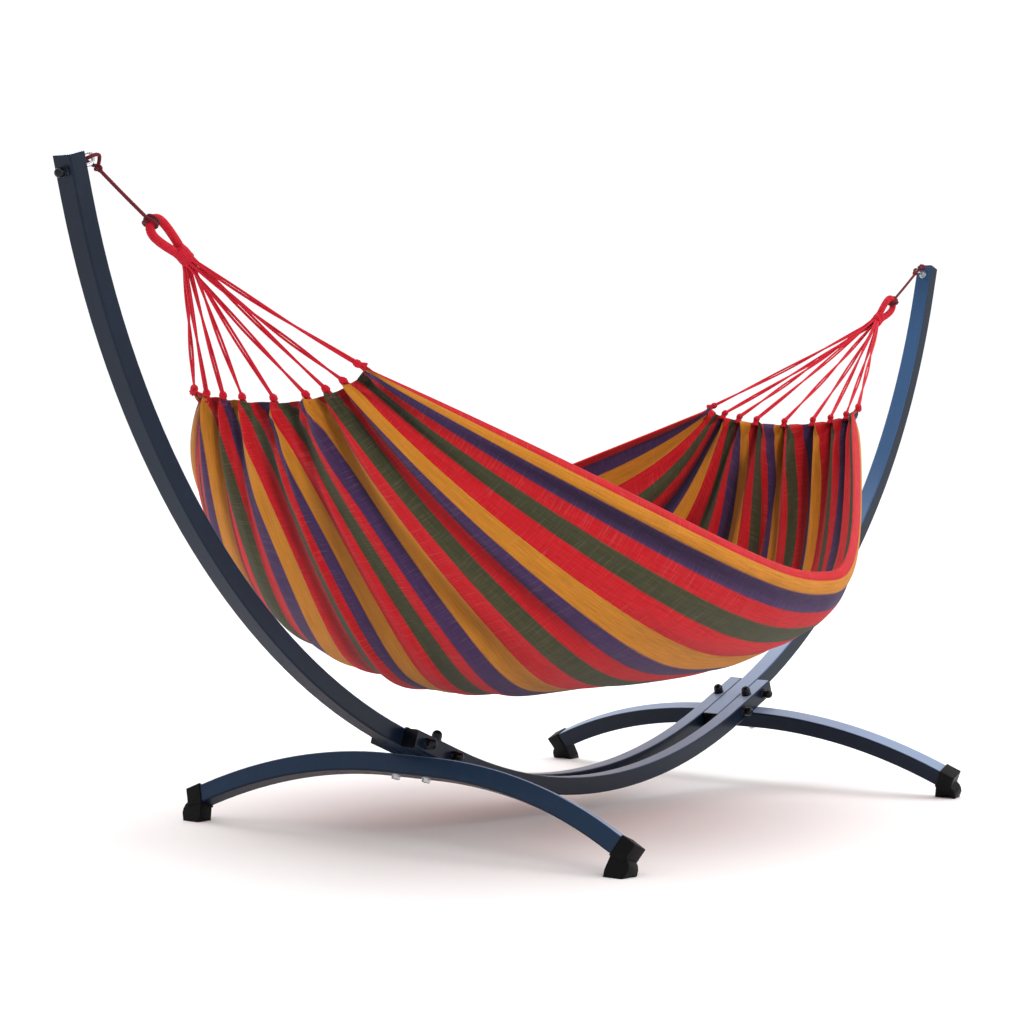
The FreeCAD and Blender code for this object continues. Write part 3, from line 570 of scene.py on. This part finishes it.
def make_hitch(side, end):
    """A helix of 2.1 turns round the wrapped eye, with its two ends drawn in."""
    around, pitch, girth = 20, 0.0072, 0.022
    t = np.linspace(-2.1 * np.pi, 2.1 * np.pi, 170)
    reach = 0.0123 - 0.0022 * np.clip((np.abs(t) - 1.75 * np.pi) / (0.35 * np.pi), 0, 1)
    coil = np.stack([
        EYE_DISTANCE + reach * np.cos(t + np.pi), reach * np.sin(t), t / (2 * np.pi) * pitch], -1)
    line, marks = even_steps(on_pull(end, coil), 0.0012)
    rings = braid_rings(line, marks, around)
    piece = make_piece(f"hitch_on_eye_{side}", rings, closed_tube(rings), maroon_braid,
                       tube_uv(marks, around, girth))
    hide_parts(f"rope_hitch_{side}")
    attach(piece, "hammock")
    return piece


for side, end in ENDS.items():
    print(make_rope_knot(side, end).name, make_hitch(side, end).name)


# %% [markdown]
# ## Wrapped eye and binding
# The eye is a thick bundle of cord wound tightly from end to end, so its surface is a
# close row of ridges. Its radius is a rectified sine of the distance along it. The binding
# holds the eye's legs and the nine cords, and is the same winding round a bigger bundle.

# %% The wrapped eyes
WINDING = 0.0042


def make_eye(side, end):
    """Radius = 7.9 mm + 0.9 mm |sin| of the distance along, a ridge for each turn of cord."""
    around, girth = 26, 0.053
    line, marks = even_steps(spline_line(eye_loop_route(end), 24), 0.00052)
    ridge = np.abs(np.sin(np.pi * marks[:, None] / WINDING + angles(around) / 2))
    rings = tube_along(line, 0.0079 + 0.0009 * ridge, around)
    piece = make_piece(f"wrapped_eye_{side}", rings, closed_tube(rings), wrapped_yarn,
                       tube_uv(marks, around, girth))
    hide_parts(f"eye_loop_{side}")
    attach(piece, "hammock")
    return marks[-1]


# %% The bindings
BINDING_START, BINDING_LENGTH = 0.264, 0.040


def make_binding(side, end):
    """A turned profile, one ridge for each turn of cord, that rounds off at both ends."""
    around, girth = 48, 0.107
    along, angle = np.linspace(0, 1, 120), angles(around)
    marks = along * BINDING_LENGTH
    bulge = np.clip(np.minimum(along, 1 - along) / 0.10, 0, 1)
    reach = 0.0100 + 0.0042 * np.sqrt(1 - (1 - bulge) ** 2)
    turns = 0.0010 * np.abs(np.sin(np.pi * (marks[:, None] / WINDING) + angle / 2))
    loose = 0.0004 * np.sin(3 * angle + along[:, None] * 9)
    line = on_pull(end, np.c_[BINDING_START + marks, 0 * marks, 0 * marks])
    rings = tube_along(line, reach[:, None] + turns + loose, around)
    piece = make_piece(f"binding_{side}", rings, closed_tube(rings), wrapped_yarn,
                       tube_uv(marks, around, girth))
    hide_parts(f"cord_binding_{side}")
    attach(piece, "hammock")
    return piece


for side, end in ENDS.items():
    print("wrapped eye", round(make_eye(side, end), 4), "m,", make_binding(side, end).name)

# %% [markdown]
# ## The bed's shape
# The cloth hangs as a trough: its rims run from header to header and sag and spread at mid
# length, and its belly stays low and rises steeply near the ends. A cosine joins the two in
# each cross-section. The same formula gives every other piece its place on the cloth.

# %% The trough formula
ROUNDING, BULGE = 0.12, 1.2
MID_HALF_WIDTH, MID_RIM, MID_BELLY = 0.684, 0.577, 0.290
BED_MIDDLE = -0.100
# For the left and the right: reach, end half width, near rim, far rim and belly heights,
# and the powers with which the rim narrows, the rim rises and the belly rises
LEFT_END = (1.018, 0.208, 0.986, 0.938, 0.920, 2.10, 1.39, 4.4)
RIGHT_END = (0.975, 0.212, 0.937, 0.937, 0.899, 1.07, 1.04, 6.8)


def trough(along, over):
    """Place on the cloth: along -1 to 1 from end to end, over -1 to 1 from rim to rim.

    Rim height and width follow powers of a softened |along|, the belly follows a higher
    power, and each cross-section is y = width sin^1.2, z = belly + rise (1 - cos) of one angle.
    """
    along, over = np.broadcast_arrays(np.asarray(along, float), np.asarray(over, float))
    reach, end_width, near, far, end_belly, narrowing, rising, lifting = (
        np.where(along < 0, left, right) for left, right in zip(LEFT_END, RIGHT_END))
    whole = math.sqrt(1 + ROUNDING ** 2) - ROUNDING
    bent = (np.sqrt(along ** 2 + ROUNDING ** 2) - ROUNDING) / whole
    half_width = end_width + (MID_HALF_WIDTH - end_width) * (1 - bent ** narrowing)
    rim = MID_RIM + (np.where(over < 0, near, far) - MID_RIM) * bent ** rising
    belly = MID_BELLY + (end_belly - MID_BELLY) * np.abs(along) ** lifting
    angle = over * np.pi / 2
    y = half_width * np.sign(angle) * np.abs(np.sin(angle)) ** BULGE
    z = belly + (rim - belly) * (1 - np.cos(angle))
    return np.stack([BED_MIDDLE + reach * along, y, z], -1)


# Where the nine knots are, as shares of the header's half width; KNOT_OVER undoes the sine
SHARES = np.array([-1, -0.84, -0.63, -0.39, 0, 0.39, 0.63, 0.84, 1])
KNOT_OVER = np.sign(SHARES) * 2 / np.pi * np.arcsin(np.abs(SHARES) ** (1 / BULGE))
KNOT_U = (KNOT_OVER + 1) / 2
headers = {side: trough(end, KNOT_OVER) for side, end in ENDS.items()}
print("header widths", [round(float(np.ptp(h[:, 1])), 3) for h in headers.values()])

# %% [markdown]
# ## Where the stripes run
# The cloth isn't spread evenly: near the ends it is drawn together at nine knots, and lower
# down it slips towards the belly. A stripe stays at one place across the flat cloth, so the
# script needs a map from the place on the trough to the place across the flat cloth. It is
# the plain share plus a few sine waves whose sizes change along the length.

# %% Across the flat cloth
# One row for each sine, and one column for each power of |along|
DRIFT_POWERS = (0, 2, 4, 8)
DRIFT = np.array([
    [-0.033, 0.240, -0.036, -0.176],
    [-0.056, 0.130, -0.072, 0.021],
    [0.014, -0.058, 0.008, 0.050],
])
REPEAT = 0.24
NEAR_REPEATS, REPEATS = 6, 6.5
CLOTH_WIDTH = REPEATS * REPEAT


def smooth_step(x, low, high):
    t = np.clip((x - low) / (high - low), 0, 1)
    return t * t * (3 - 2 * t)


def across_cloth(along, u):
    """Repeats counted from the near rim, for a place u from rim to rim.

    It is u plus, for each j, a sine of j half waves over u times an even polynomial of along,
    and on the far half a square that draws the last half repeat in.
    """
    powers = np.stack([np.abs(along) ** power for power in DRIFT_POWERS], -1)
    waves = np.stack([np.sin((j + 1) * np.pi * u) for j in range(len(DRIFT))], -1)
    drifted = u + np.einsum("...j,jp,...p->...", waves, DRIFT, powers)
    return NEAR_REPEATS * drifted + (REPEATS - NEAR_REPEATS) * np.clip(2 * u - 1, 0, 1) ** 2


sample = across_cloth(np.zeros(5), np.linspace(0, 1, 5))
print("repeats at mid length", np.round(sample, 3).tolist())

# %% [markdown]
# ## Striped cotton
# The cloth is yarn-dyed canvas: the stripes are woven in, so their edges are straight but
# a little frayed by single yarns. One repeat has gold, purple, red, olive and red, and there
# are six and a half repeats. A colour ramp over the distance across keeps their edges sharp
# close up. The weave is a product of two fine sines in metres, with thicker slub yarns here
# and there, and a stitched hem runs along both rims.

# %% The cloth's finish
STRIPES = [
    (0.22, tint(200, 128, 34)), (0.18, tint(66, 44, 86)), (0.16, tint(190, 18, 30)),
    (0.20, tint(64, 66, 44)), (0.24, tint(200, 20, 32))]
STRIPE_EDGE, THREAD, STITCH = 0.008, 0.0021, 0.004


def stripe_stops():
    """Ramp stops: each colour holds across its share, with soft steps between."""
    stops, place = [], 0.0
    for width, colour in STRIPES:
        stops += [(place + STRIPE_EDGE, colour[:3]), (place + width - STRIPE_EDGE, colour[:3])]
        place += width
    return stops


def make_striped_cotton():
    """Stripes and hem first, then slubs, the weave, stitches, and painted shade and light on folds.
    """
    finish = Finish("striped_cotton")
    uv = finish.place("UV")
    along, across = finish.part(uv, 0), finish.part(uv, 1)
    fray = finish.noise(finish.stretched(uv, (60.0, 900.0, 1.0)), 1.0, 2.0)
    place = (across * (1 / REPEAT) + (fray - 0.5) * 0.012).fraction()
    stripes = finish.node("ShaderNodeValToRGB", {"stops": stripe_stops()}, {0: place})
    from_rim = CLOTH_WIDTH / 2 - (across - CLOTH_WIDTH / 2).size()
    hem = 1 - from_rim.between(0.0205, 0.0225)
    coloured = finish.mixed(hem, stripes, tint(198, 20, 32))
    slub = finish.noise(finish.stretched(uv, (14.0, 420.0, 1.0)), 1.0, 3.0, 0.6)
    cross_slub = finish.noise(finish.stretched(uv, (420.0, 14.0, 1.0)), 1.0, 3.0, 0.6)
    warp = (across * (2 * math.pi / THREAD)).sine()
    weft = (along * (2 * math.pi / THREAD)).sine()
    shaded = finish.mixed(slub.between(0.35, 0.7) * 0.30, coloured, tint(20, 10, 12), "MULTIPLY")
    bright = finish.mixed(
        (warp * weft * 0.5 + 0.5) * 0.14, shaded, tint(255, 214, 190), "SOFT_LIGHT")
    faded = finish.mixed(cross_slub.between(0.5, 0.8) * 0.10, bright, tint(226, 196, 180))
    stitch = (along * (2 * math.pi / STITCH)).sine().between(-0.2, 0.2)
    seam = (1 - ((from_rim - 0.0180).size()).between(0.0004, 0.0011)) * stitch
    threaded = finish.mixed(seam * 0.7, faded, tint(120, 12, 24))
    crease = finish.node("ShaderNodeAttribute", {"attribute_name": "crease"}, output=2)
    # Painted shade: fold hollows are multiplied darker, and painted light lifts the fold crests
    deep = finish.mixed(crease.between(0.50, 0.95) * 0.60, threaded, tint(66, 26, 40), "MULTIPLY")
    painted_crest_light = finish.mixed(
        (1 - crease).between(0.55, 1.0) * 0.18, deep, tint(255, 226, 206), "SOFT_LIGHT")
    weave = finish.bump(warp * weft * 0.6 + slub * 1.2 + cross_slub * 0.8, 0.0005, 0.7)
    creases = finish.noise(finish.stretched(uv, (5.0, 26.0, 1.0)), 1.0, 4.0, 0.55)
    return finish.surface(
        Base_Color=painted_crest_light,
        Roughness=slub * 0.12 + 0.80,
        Normal=finish.bump(creases - seam * 0.25, 0.006, 0.35, weave),
        Specular_IOR_Level=0.2,
        Sheen_Weight=0.08,
        Sheen_Roughness=0.45,
    )


striped_cotton = make_striped_cotton()
print("stripes in a repeat:", len(STRIPES))

# %% [markdown]
# ## The bed
# The trough gives the big shape. On it come the things that make cloth look like cloth:
# ridges that fan out from each knot, hollows between the knots, narrow pleats at the
# header, an edge that dips between the knots, long soft folds that follow the stripes, and
# rims that curl inwards with a rolled hem. A simulation wouldn't put them at these places,
# so all are offsets on one grid, and the sheet is closed at its edges.

# %% Grid of the cloth
ROWS, COLUMNS = 196, 230
# A sine crowds the rows towards the ends and the columns towards the rims
CROWD_ROWS, CROWD_COLUMNS = 1.25, 1.1
step_along = np.linspace(-1, 1, ROWS)
step_across = (np.linspace(0, 1, COLUMNS) - 0.5) * 2
along = (np.sin(step_along * CROWD_ROWS) / math.sin(CROWD_ROWS))[:, None]
u = (0.5 + 0.5 * np.sin(step_across * CROWD_COLUMNS) / math.sin(CROWD_COLUMNS))[None, :]
along, u = along + np.zeros((1, COLUMNS)), u + np.zeros((ROWS, 1))
base = trough(along, 2 * u - 1)


def surface_directions(points):
    """Unit directions along and across a grid, and the normal that points out and down."""
    lengthways, crossways = unit(np.gradient(points, axis=0)), unit(np.gradient(points, axis=1))
    return lengthways, crossways, unit(np.cross(crossways, lengthways))


def running_length(points, axis):
    """Distance from the first row or column to each point of a grid."""
    steps = np.linalg.norm(np.diff(points, axis=axis), axis=-1)
    start = np.zeros_like(np.take(steps, [0], axis=axis))
    return np.concatenate([start, np.cumsum(steps, axis=axis)], axis=axis)


lengthways, crossways, outward = surface_directions(base)
from_left = running_length(base, 0)
from_near = running_length(base, 1)
from_end = np.minimum(from_left, from_left[-1:] - from_left)
from_rim = np.minimum(from_near, from_near[:, -1:] - from_near)
v = across_cloth(along, u)
print("cloth along the rim", round(float(from_left[-1, 0]), 3), "m, across the middle",
      round(float(from_near[ROWS // 2, -1]), 3), "m")

# %% Offsets of the cloth
# knot_place counts the knots, 0 to 8, and the fan is the angle at which a knot is seen
KNOT_GAP = 0.054
CURL_DEPTH, CURL_WIDTH = 0.019, 0.045
knot_place = np.interp(u, KNOT_U, np.arange(9.0))
to_knot = knot_place - np.round(knot_place)
fan = np.arctan2(np.abs(to_knot) * KNOT_GAP, from_end + 0.012)
seeded = np.random.default_rng(7)
ridges = 0.0045 * np.cos(15 * fan) * np.exp(-from_end / 0.16) * smooth_step(from_end, 0.0, 0.02)
hollow = 0.012 * np.cos(2 * np.pi * knot_place) * np.exp(-from_end / 0.30)
hollow *= smooth_step(from_rim, 0.0, 0.03)
folds = np.zeros_like(v)
for waves, height in ((7, 0.0062), (11, 0.0050), (17, 0.0036), (29, 0.0022)):
    phase, lean = seeded.uniform(0, 2 * np.pi), seeded.uniform(-0.8, 0.8)
    swell = seeded.uniform(0, 2 * np.pi)
    size = 0.45 + 0.55 * np.sin(2.2 * along + swell) ** 2
    folds += height * size * np.sin(2 * np.pi * waves * v / REPEATS + phase + lean * along * 2)
folds *= 0.30 + 0.70 * smooth_step(np.abs(along), 0.15, 0.85)
folds *= smooth_step(from_rim, 0.0, 0.06) * smooth_step(from_end, 0.0, 0.10)
uneven = 0.8 * np.sin(9 * knot_place)
pleats = 0.0034 * np.cos(6 * np.pi * knot_place + uneven) * np.exp(-from_end / 0.14)
pleats *= smooth_step(from_end, 0.0, 0.012) * smooth_step(from_rim, 0.0, 0.02)
curl = np.clip(1 - from_rim / CURL_WIDTH, 0, 1) ** 2
dip = 0.013 * np.abs(np.sin(np.pi * knot_place)) ** 0.7 * np.exp(-from_end / 0.05)
draw_in = to_knot * KNOT_GAP * 0.30 * np.exp(-from_end / 0.025)
wavy = ridges + hollow + folds + pleats
cloth = base + outward * wavy[..., None]
cloth -= outward * (CURL_DEPTH * curl * smooth_step(from_end, 0.0, 0.05))[..., None]
cloth -= lengthways * (np.sign(along) * dip)[..., None]
cloth -= crossways * draw_in[..., None]
print("folds and hollows reach", round(float(np.abs(wavy).max()) * 1000, 1), "mm")

# %% Close the sheet
def make_bed():
    """The outer grid, an inner one at the cloth's thickness, and a strip round the border."""
    _, _, normal = surface_directions(cloth)
    hem = 1 - smooth_step(from_rim, 0.017, 0.021)
    header = np.exp(-from_end / 0.008)
    thick = 0.0016 + 0.0028 * hem + 0.0016 * header
    inner = cloth - normal * thick[..., None]
    points = np.concatenate([cloth.reshape(-1, 3), inner.reshape(-1, 3)])
    count = ROWS * COLUMNS
    faces = grid_faces(ROWS, COLUMNS) + grid_faces(ROWS, COLUMNS, first=count)
    index = np.arange(count).reshape(ROWS, COLUMNS)
    border = np.concatenate([index[0], index[1:, -1], index[-1, -2::-1], index[-2:0:-1, 0]])
    after = np.roll(border, -1)
    faces += np.stack([border, after, after + count, border + count], -1).tolist()
    uv = np.stack([from_left, v * REPEAT], -1).reshape(-1, 2)
    piece = make_piece("cloth_bed", points, faces, striped_cotton, np.concatenate([uv, uv]))
    # crease is 1 at the bottom of a fold and 0 on its crest, so the inner side has the reverse;
    # the cloth's finish paints shade by it in the hollows and light on the crests
    depth = np.clip(wavy.ravel() / 0.020, -0.5, 0.5)
    crease = piece.data.attributes.new("crease", "FLOAT", "POINT")
    crease.data.foreach_set("value", np.concatenate([0.5 - depth, 0.5 + depth]))
    return piece


bed = make_bed()
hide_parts("hammock_bed")
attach(bed, "hammock")
print("bed triangles", 2 * len(bed.data.polygons))

# %% [markdown]
# ## The cords to the cloth
# Nine doubled cords leave the binding at each end. A doubled cord is two yarns lying side
# by side that turn slowly round each other, so each is two tubes on a loose helix about
# the cord's own line. They are under load, and hang almost straight.

# %% The doubled cords
# Degrees round the binding at which each cord leaves it; the fifth leaves from its middle
LEAVING = [180, 225, 135, 270, None, 90, 45, 315, 0]
CLEW_START, CLEW_RING = 0.302, 0.008928
CLEW_STOP = 0.0095
STRAND_RADIUS, STRAND_GIRTH, STRAND_SIDES = 0.0025, 0.0138, 9


def clew_ends(side, end, number):
    """Where a cord leaves the binding, its place on the header, and the way from there."""
    ring = (0.0, 0.0)
    if LEAVING[number] is not None:
        leaving = math.radians(LEAVING[number])
        ring = (-end * CLEW_RING * math.cos(leaving), CLEW_RING * math.sin(leaving))
    start = on_pull(end, (CLEW_START, *ring))
    edge = headers[side][number]
    towards = (start - edge) / np.linalg.norm(start - edge)
    return start, edge, towards


def make_clew(side, end, number):
    """Two strands at centre + (side cos a + up sin a) offset, with a growing along the cord."""
    start, edge, towards = clew_ends(side, end, number)
    stop = edge + towards * CLEW_STOP
    sag = np.array([0, 0, -0.004])
    route = [start, start * 0.66 + stop * 0.34 + sag, start * 0.33 + stop * 0.67 + sag, stop]
    line, marks = even_steps(spline_line(route, 20), 0.004)
    _, side_way, up_way = frames_along(line)
    pitch = seeded.uniform(0.35, 0.8)
    first = seeded.uniform(0, np.pi)
    apart = 0.0024 + 0.0005 * np.sin(np.pi * marks / marks[-1]) ** 2
    strands = []
    for strand in range(2):
        angle = (2 * np.pi * marks / pitch + first + strand * np.pi)[:, None]
        centre = line + apart[:, None] * (side_way * np.cos(angle) + up_way * np.sin(angle))
        strands.append(tube_along(centre, STRAND_RADIUS, STRAND_SIDES))
    uv = tube_uv(marks, STRAND_SIDES, STRAND_GIRTH)
    piece = make_piece(
        f"doubled_cord_{side}_{number + 1}", *join_tubes(strands), red_yarn, [uv, uv])
    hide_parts(f"clew_cord_{side}_{number + 1}")
    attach(piece, "hammock")
    return float(marks[-1])


for side, end in ENDS.items():
    print(side, [round(make_clew(side, end, number), 3) for number in range(9)])

# %% [markdown]
# ## Knots on the header
# Each cord is tied round a gathered bunch of cloth. The knot is a turned body along the
# cord's direction: a fluted skirt where the cloth is bunched, a neck, then fat turns of cord
# and a rounded nose that the cord comes out of.

# %% Header knots
PROFILE_AT = np.array([-17, -13, -9, -6.5, -5, -3, -1, 2, 5, 7.5, 9.5, 11]) / 1000
PROFILE = np.array([8.4, 7.6, 6.4, 5.6, 5.8, 7.0, 7.6, 7.6, 7.0, 5.8, 4.6, 3.2]) / 1000
FLUTES, KNOT_WINDING = 9, 0.0046


def make_header_knots(side, end):
    """Radius from the profile, with flutes on the skirt and turns of cord on the bulb."""
    knots, around, girth = [], 40, 0.045
    angle = angles(around)
    at = np.linspace(PROFILE_AT[0], PROFILE_AT[-1], 54)
    for number in range(9):
        _, edge, towards = clew_ends(side, end, number)
        turn = seeded.uniform(0, 2 * np.pi)
        reach = np.interp(at, PROFILE_AT, PROFILE)[:, None] * np.ones((1, around))
        skirt = 1 - smooth_step(at, -0.008, -0.003)[:, None]
        reach = reach * (1 + 0.13 * skirt * np.cos(FLUTES * angle + turn))
        wound = smooth_step(at, -0.005, -0.002)[:, None]
        ridge = np.abs(np.sin(np.pi * at[:, None] / KNOT_WINDING + angle + turn))
        reach = reach + 0.0010 * wound * (ridge - 0.5)
        inward = trough(end * 0.96, KNOT_OVER[number]) - edge
        inward /= np.linalg.norm(inward)
        bend = smooth_step(at, -0.006, 0.002)[:, None]
        line = edge + at[:, None] * (towards * bend - inward * (1 - bend))
        knots.append(tube_along(line, reach, around))
    piece = make_piece(f"gathered_knots_{side}", *join_tubes(knots), wrapped_yarn,
                       [tube_uv(at, around, girth)] * len(knots))
    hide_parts(f"header_knots_{side}")
    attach(piece, "hammock")
    return piece


for side, end in ENDS.items():
    print(make_header_knots(side, end).name)

# %% [markdown]
# ## Rubber boots
# Each foot tube ends in a moulded boot: a square sleeve on the tube, and a slimmer foot
# under it that is cut level with the ground although the arch leans. Both outlines are
# drawn in the plane of the arch and carried across the width, drawn in a little at both
# sides so that the long edges are round.

# %% Boot outlines
# The arch has a flat middle, an arc of TURN and a straight end, in a plane that leans by
# SLOPE and passes through JOINT, given as x and z
SLOPE = math.radians(21)
TURN = math.radians(25.8)
JOINT = (0.64530, 0.1979)
FOOT_FLAT, FOOT_RADIUS, FOOT_STRAIGHT, FOOT_HANG = 0.060, 1.090, 0.045, 0.041
SLEEVE, END_WALL, HALF_DEPTH = 0.034, 0.004, 0.024
SLEEVE_HALF_WIDTH, FOOT_HALF_WIDTH, EDGE = 0.022, 0.0195, 0.0030


def rounded(corners):
    """A closed line through the corners, each cut by two points near it and smoothed twice."""
    back, on = np.roll(corners, 1, 0) - corners, np.roll(corners, -1, 0) - corners
    back_length, on_length = (np.linalg.norm(way, axis=1)[:, None] for way in (back, on))
    near = np.minimum(EDGE, np.minimum(back_length, on_length) * 0.45)
    line = np.stack([
        corners + back / back_length * near, corners, corners + on / on_length * near], 1)
    line = line.reshape(-1, 2)
    for _ in range(2):
        following = np.roll(line, -1, 0)
        line = np.stack([line * 0.75 + following * 0.25, line * 0.25 + following * 0.75], 1)
        line = line.reshape(-1, 2)
    return line


def boot_outlines():
    """The sleeve's and the foot's outline as (outwards, up) in metres."""
    out = np.array([math.cos(TURN), -math.sin(TURN)])
    up = np.array([math.sin(TURN), math.cos(TURN)])
    end = np.array([
        FOOT_FLAT + FOOT_RADIUS * math.sin(TURN) + FOOT_STRAIGHT * math.cos(TURN),
        JOINT[1] / math.cos(SLOPE) - FOOT_HANG - FOOT_RADIUS * (1 - math.cos(TURN))
        - FOOT_STRAIGHT * math.sin(TURN)])
    face, mouth = end + out * END_WALL, end - out * SLEEVE
    waist = face - up * 0.008
    below = mouth - up * HALF_DEPTH
    toe = waist + (0.009, -0.014)
    sleeve = np.array([mouth + up * HALF_DEPTH, face + up * HALF_DEPTH, face - up * 0.018, below])
    foot = np.array([
        below + up * 0.014, waist + up * 0.004 - out * 0.005, waist + (0.006, -0.005),
        toe, toe + (0, -0.010), toe + (-0.005, -0.020), (toe[0] - 0.012, -0.016),
        (below[0] - 0.004, -0.016), (below[0] - 0.005, 0.006), below + out * 0.002])
    return rounded(sleeve), rounded(foot)


sleeve_outline, foot_outline = boot_outlines()
print("boot outlines", len(sleeve_outline), len(foot_outline), "points")


# %% Carry the outlines across
def across_width(outline, half):
    """Width = half - r + r sin, and the outline shrinks towards its middle by r (1 - cos)."""
    quarter = np.linspace(-np.pi / 2, 0, 6)
    place = np.concatenate([
        -half + EDGE + EDGE * np.sin(quarter), half - EDGE - EDGE * np.sin(quarter[::-1])])
    shrink = EDGE * (1 - np.cos(np.concatenate([quarter, quarter[::-1]])))
    middle = outline.mean(0)
    spoke = outline - middle
    length = np.linalg.norm(spoke, axis=1)
    flat = middle + spoke[None] * (1 - shrink[:, None] / length[None])[..., None]
    return place, flat


def turn_shells_out(piece, counts):
    """Reverse each shell whose volume is negative; counts gives the shells' faces.

    The sole is flattened, which misleads Blender's own guess of where outwards is.
    """
    work = bmesh.new()
    work.from_mesh(piece.data)
    work.faces.ensure_lookup_table()
    start = 0
    for count in counts:
        shell = work.faces[start:start + count]
        if sum(face.calc_area() * face.normal.dot(face.calc_center_median()) for face in shell) < 0:
            bmesh.ops.reverse_faces(work, faces=shell)
        start += count
    work.to_mesh(piece.data)
    work.free()


def make_boots():
    """Each boot is the sleeve and the foot, leaning with the arch and level at the ground."""
    origin_x = JOINT[0] + JOINT[1] * math.tan(SLOPE)
    cosine, sine = math.cos(SLOPE), math.sin(SLOPE)
    shells = [across_width(sleeve_outline, SLEEVE_HALF_WIDTH),
              across_width(foot_outline, FOOT_HALF_WIDTH)]
    for side, end in ENDS.items():
        for name, way in (("front", -1), ("back", 1)):
            tubes = []
            for place, flat in shells:
                x = origin_x + place[:, None] * cosine - flat[..., 1] * sine
                z = np.maximum(place[:, None] * sine + flat[..., 1] * cosine, 0.0)
                tubes.append(np.stack([end * x, way * flat[..., 0], z], -1))
            points, faces = join_tubes(tubes)
            piece = make_piece(f"moulded_boot_{name}_{side}", points, faces, boot_rubber)
            turn_shells_out(piece, [len(closed_tube(rings)) for rings in tubes])
            piece.data.set_sharp_from_angle(angle=math.radians(50))
            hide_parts(f"boot_{name}_{side}")
            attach(piece, "stand")
            print(piece.name, "reaches", np.round(points.max(0), 4).tolist())


make_boots()

# %% [markdown]
# ## Floor and light
# The hammock stands on a plain pale floor before a white sky. The sky shines less than it
# shows, so the background is white and the cloth keeps its deep colours. A very wide sun,
# high at the front right, gives the faint soft shadow, a small lamp at the front right
# shapes the folds, and one behind and above draws a light line along the tops of the tubes.

# %% Floor
FLOOR_REACH, FLOOR_HEIGHT = 30, -0.0005
PALE = ((0.93, 0.93, 0.93, 1), (0.96, 0.96, 0.96, 1))


def make_floor():
    """A flat grid half a millimetre under the boots."""
    finish = Finish("pale_floor")
    grain = finish.noise(finish.place(), 30, 3.0)
    finish.surface(Base_Color=finish.mixed(grain, *PALE), Roughness=0.9)
    side = np.linspace(-FLOOR_REACH, FLOOR_REACH, 4)
    x, y = np.meshgrid(side, side, indexing="ij")
    points = np.stack([x, y, np.full_like(x, FLOOR_HEIGHT)], -1)
    mesh = bpy.data.meshes.new("floor")
    mesh.from_pydata(points.reshape(-1, 3).tolist(), [], grid_faces(4, 4))
    mesh.materials.append(finish.material)
    floor = add_object("floor", mesh)


make_floor()
print("floor", 2 * FLOOR_REACH, "m wide")


# %% Sky and lamps
def make_lamp(name, place, target, size, power):
    """An area lamp, sized in metres and watts, that faces its target."""
    data = bpy.data.lights.new(name, "AREA")
    data.shape = "RECTANGLE"
    data.size, data.size_y = size
    data.energy = power
    lamp = add_object(name, data)
    lamp.matrix_world = Matrix.Translation(place) @ facing(Vector(target) - Vector(place))


def make_sky(seen, shining):
    """A white world: one strength where it is seen, another for the light it gives."""
    world = bpy.data.worlds.new("studio")
    world.use_nodes = True
    tree = world.node_tree
    path = tree.nodes.new("ShaderNodeLightPath")
    strength = tree.nodes.new("ShaderNodeMath")
    strength.operation = "MULTIPLY_ADD"
    strength.inputs[1].default_value = seen - shining
    strength.inputs[2].default_value = shining
    tree.links.new(path.outputs["Is Camera Ray"], strength.inputs[0])
    tree.links.new(strength.outputs[0], tree.nodes["Background"].inputs["Strength"])
    tree.nodes["Background"].inputs["Color"].default_value = (1, 1, 1, 1)
    bpy.context.scene.world = world


make_sky(seen=1.06, shining=0.80)
# A sun's angle is how wide it looks, and 90 degrees gives a very soft shadow
sun_data = bpy.data.lights.new("soft_sun", "SUN")
sun_data.energy, sun_data.angle = 1.7, math.radians(90)
add_object("soft_sun", sun_data).matrix_world = facing((-1.0, 1.3, -5.0))
make_lamp("front_key", (1.6, -4.4, 3.0), (0, 0, 0.6), (2.0, 1.4), 45)
make_lamp("back_top", (1.5, 3.0, 3.6), (0, 0, 0.4), (3.0, 1.6), 60)
bpy.context.scene.view_settings.view_transform = "Standard"

# %% [markdown]
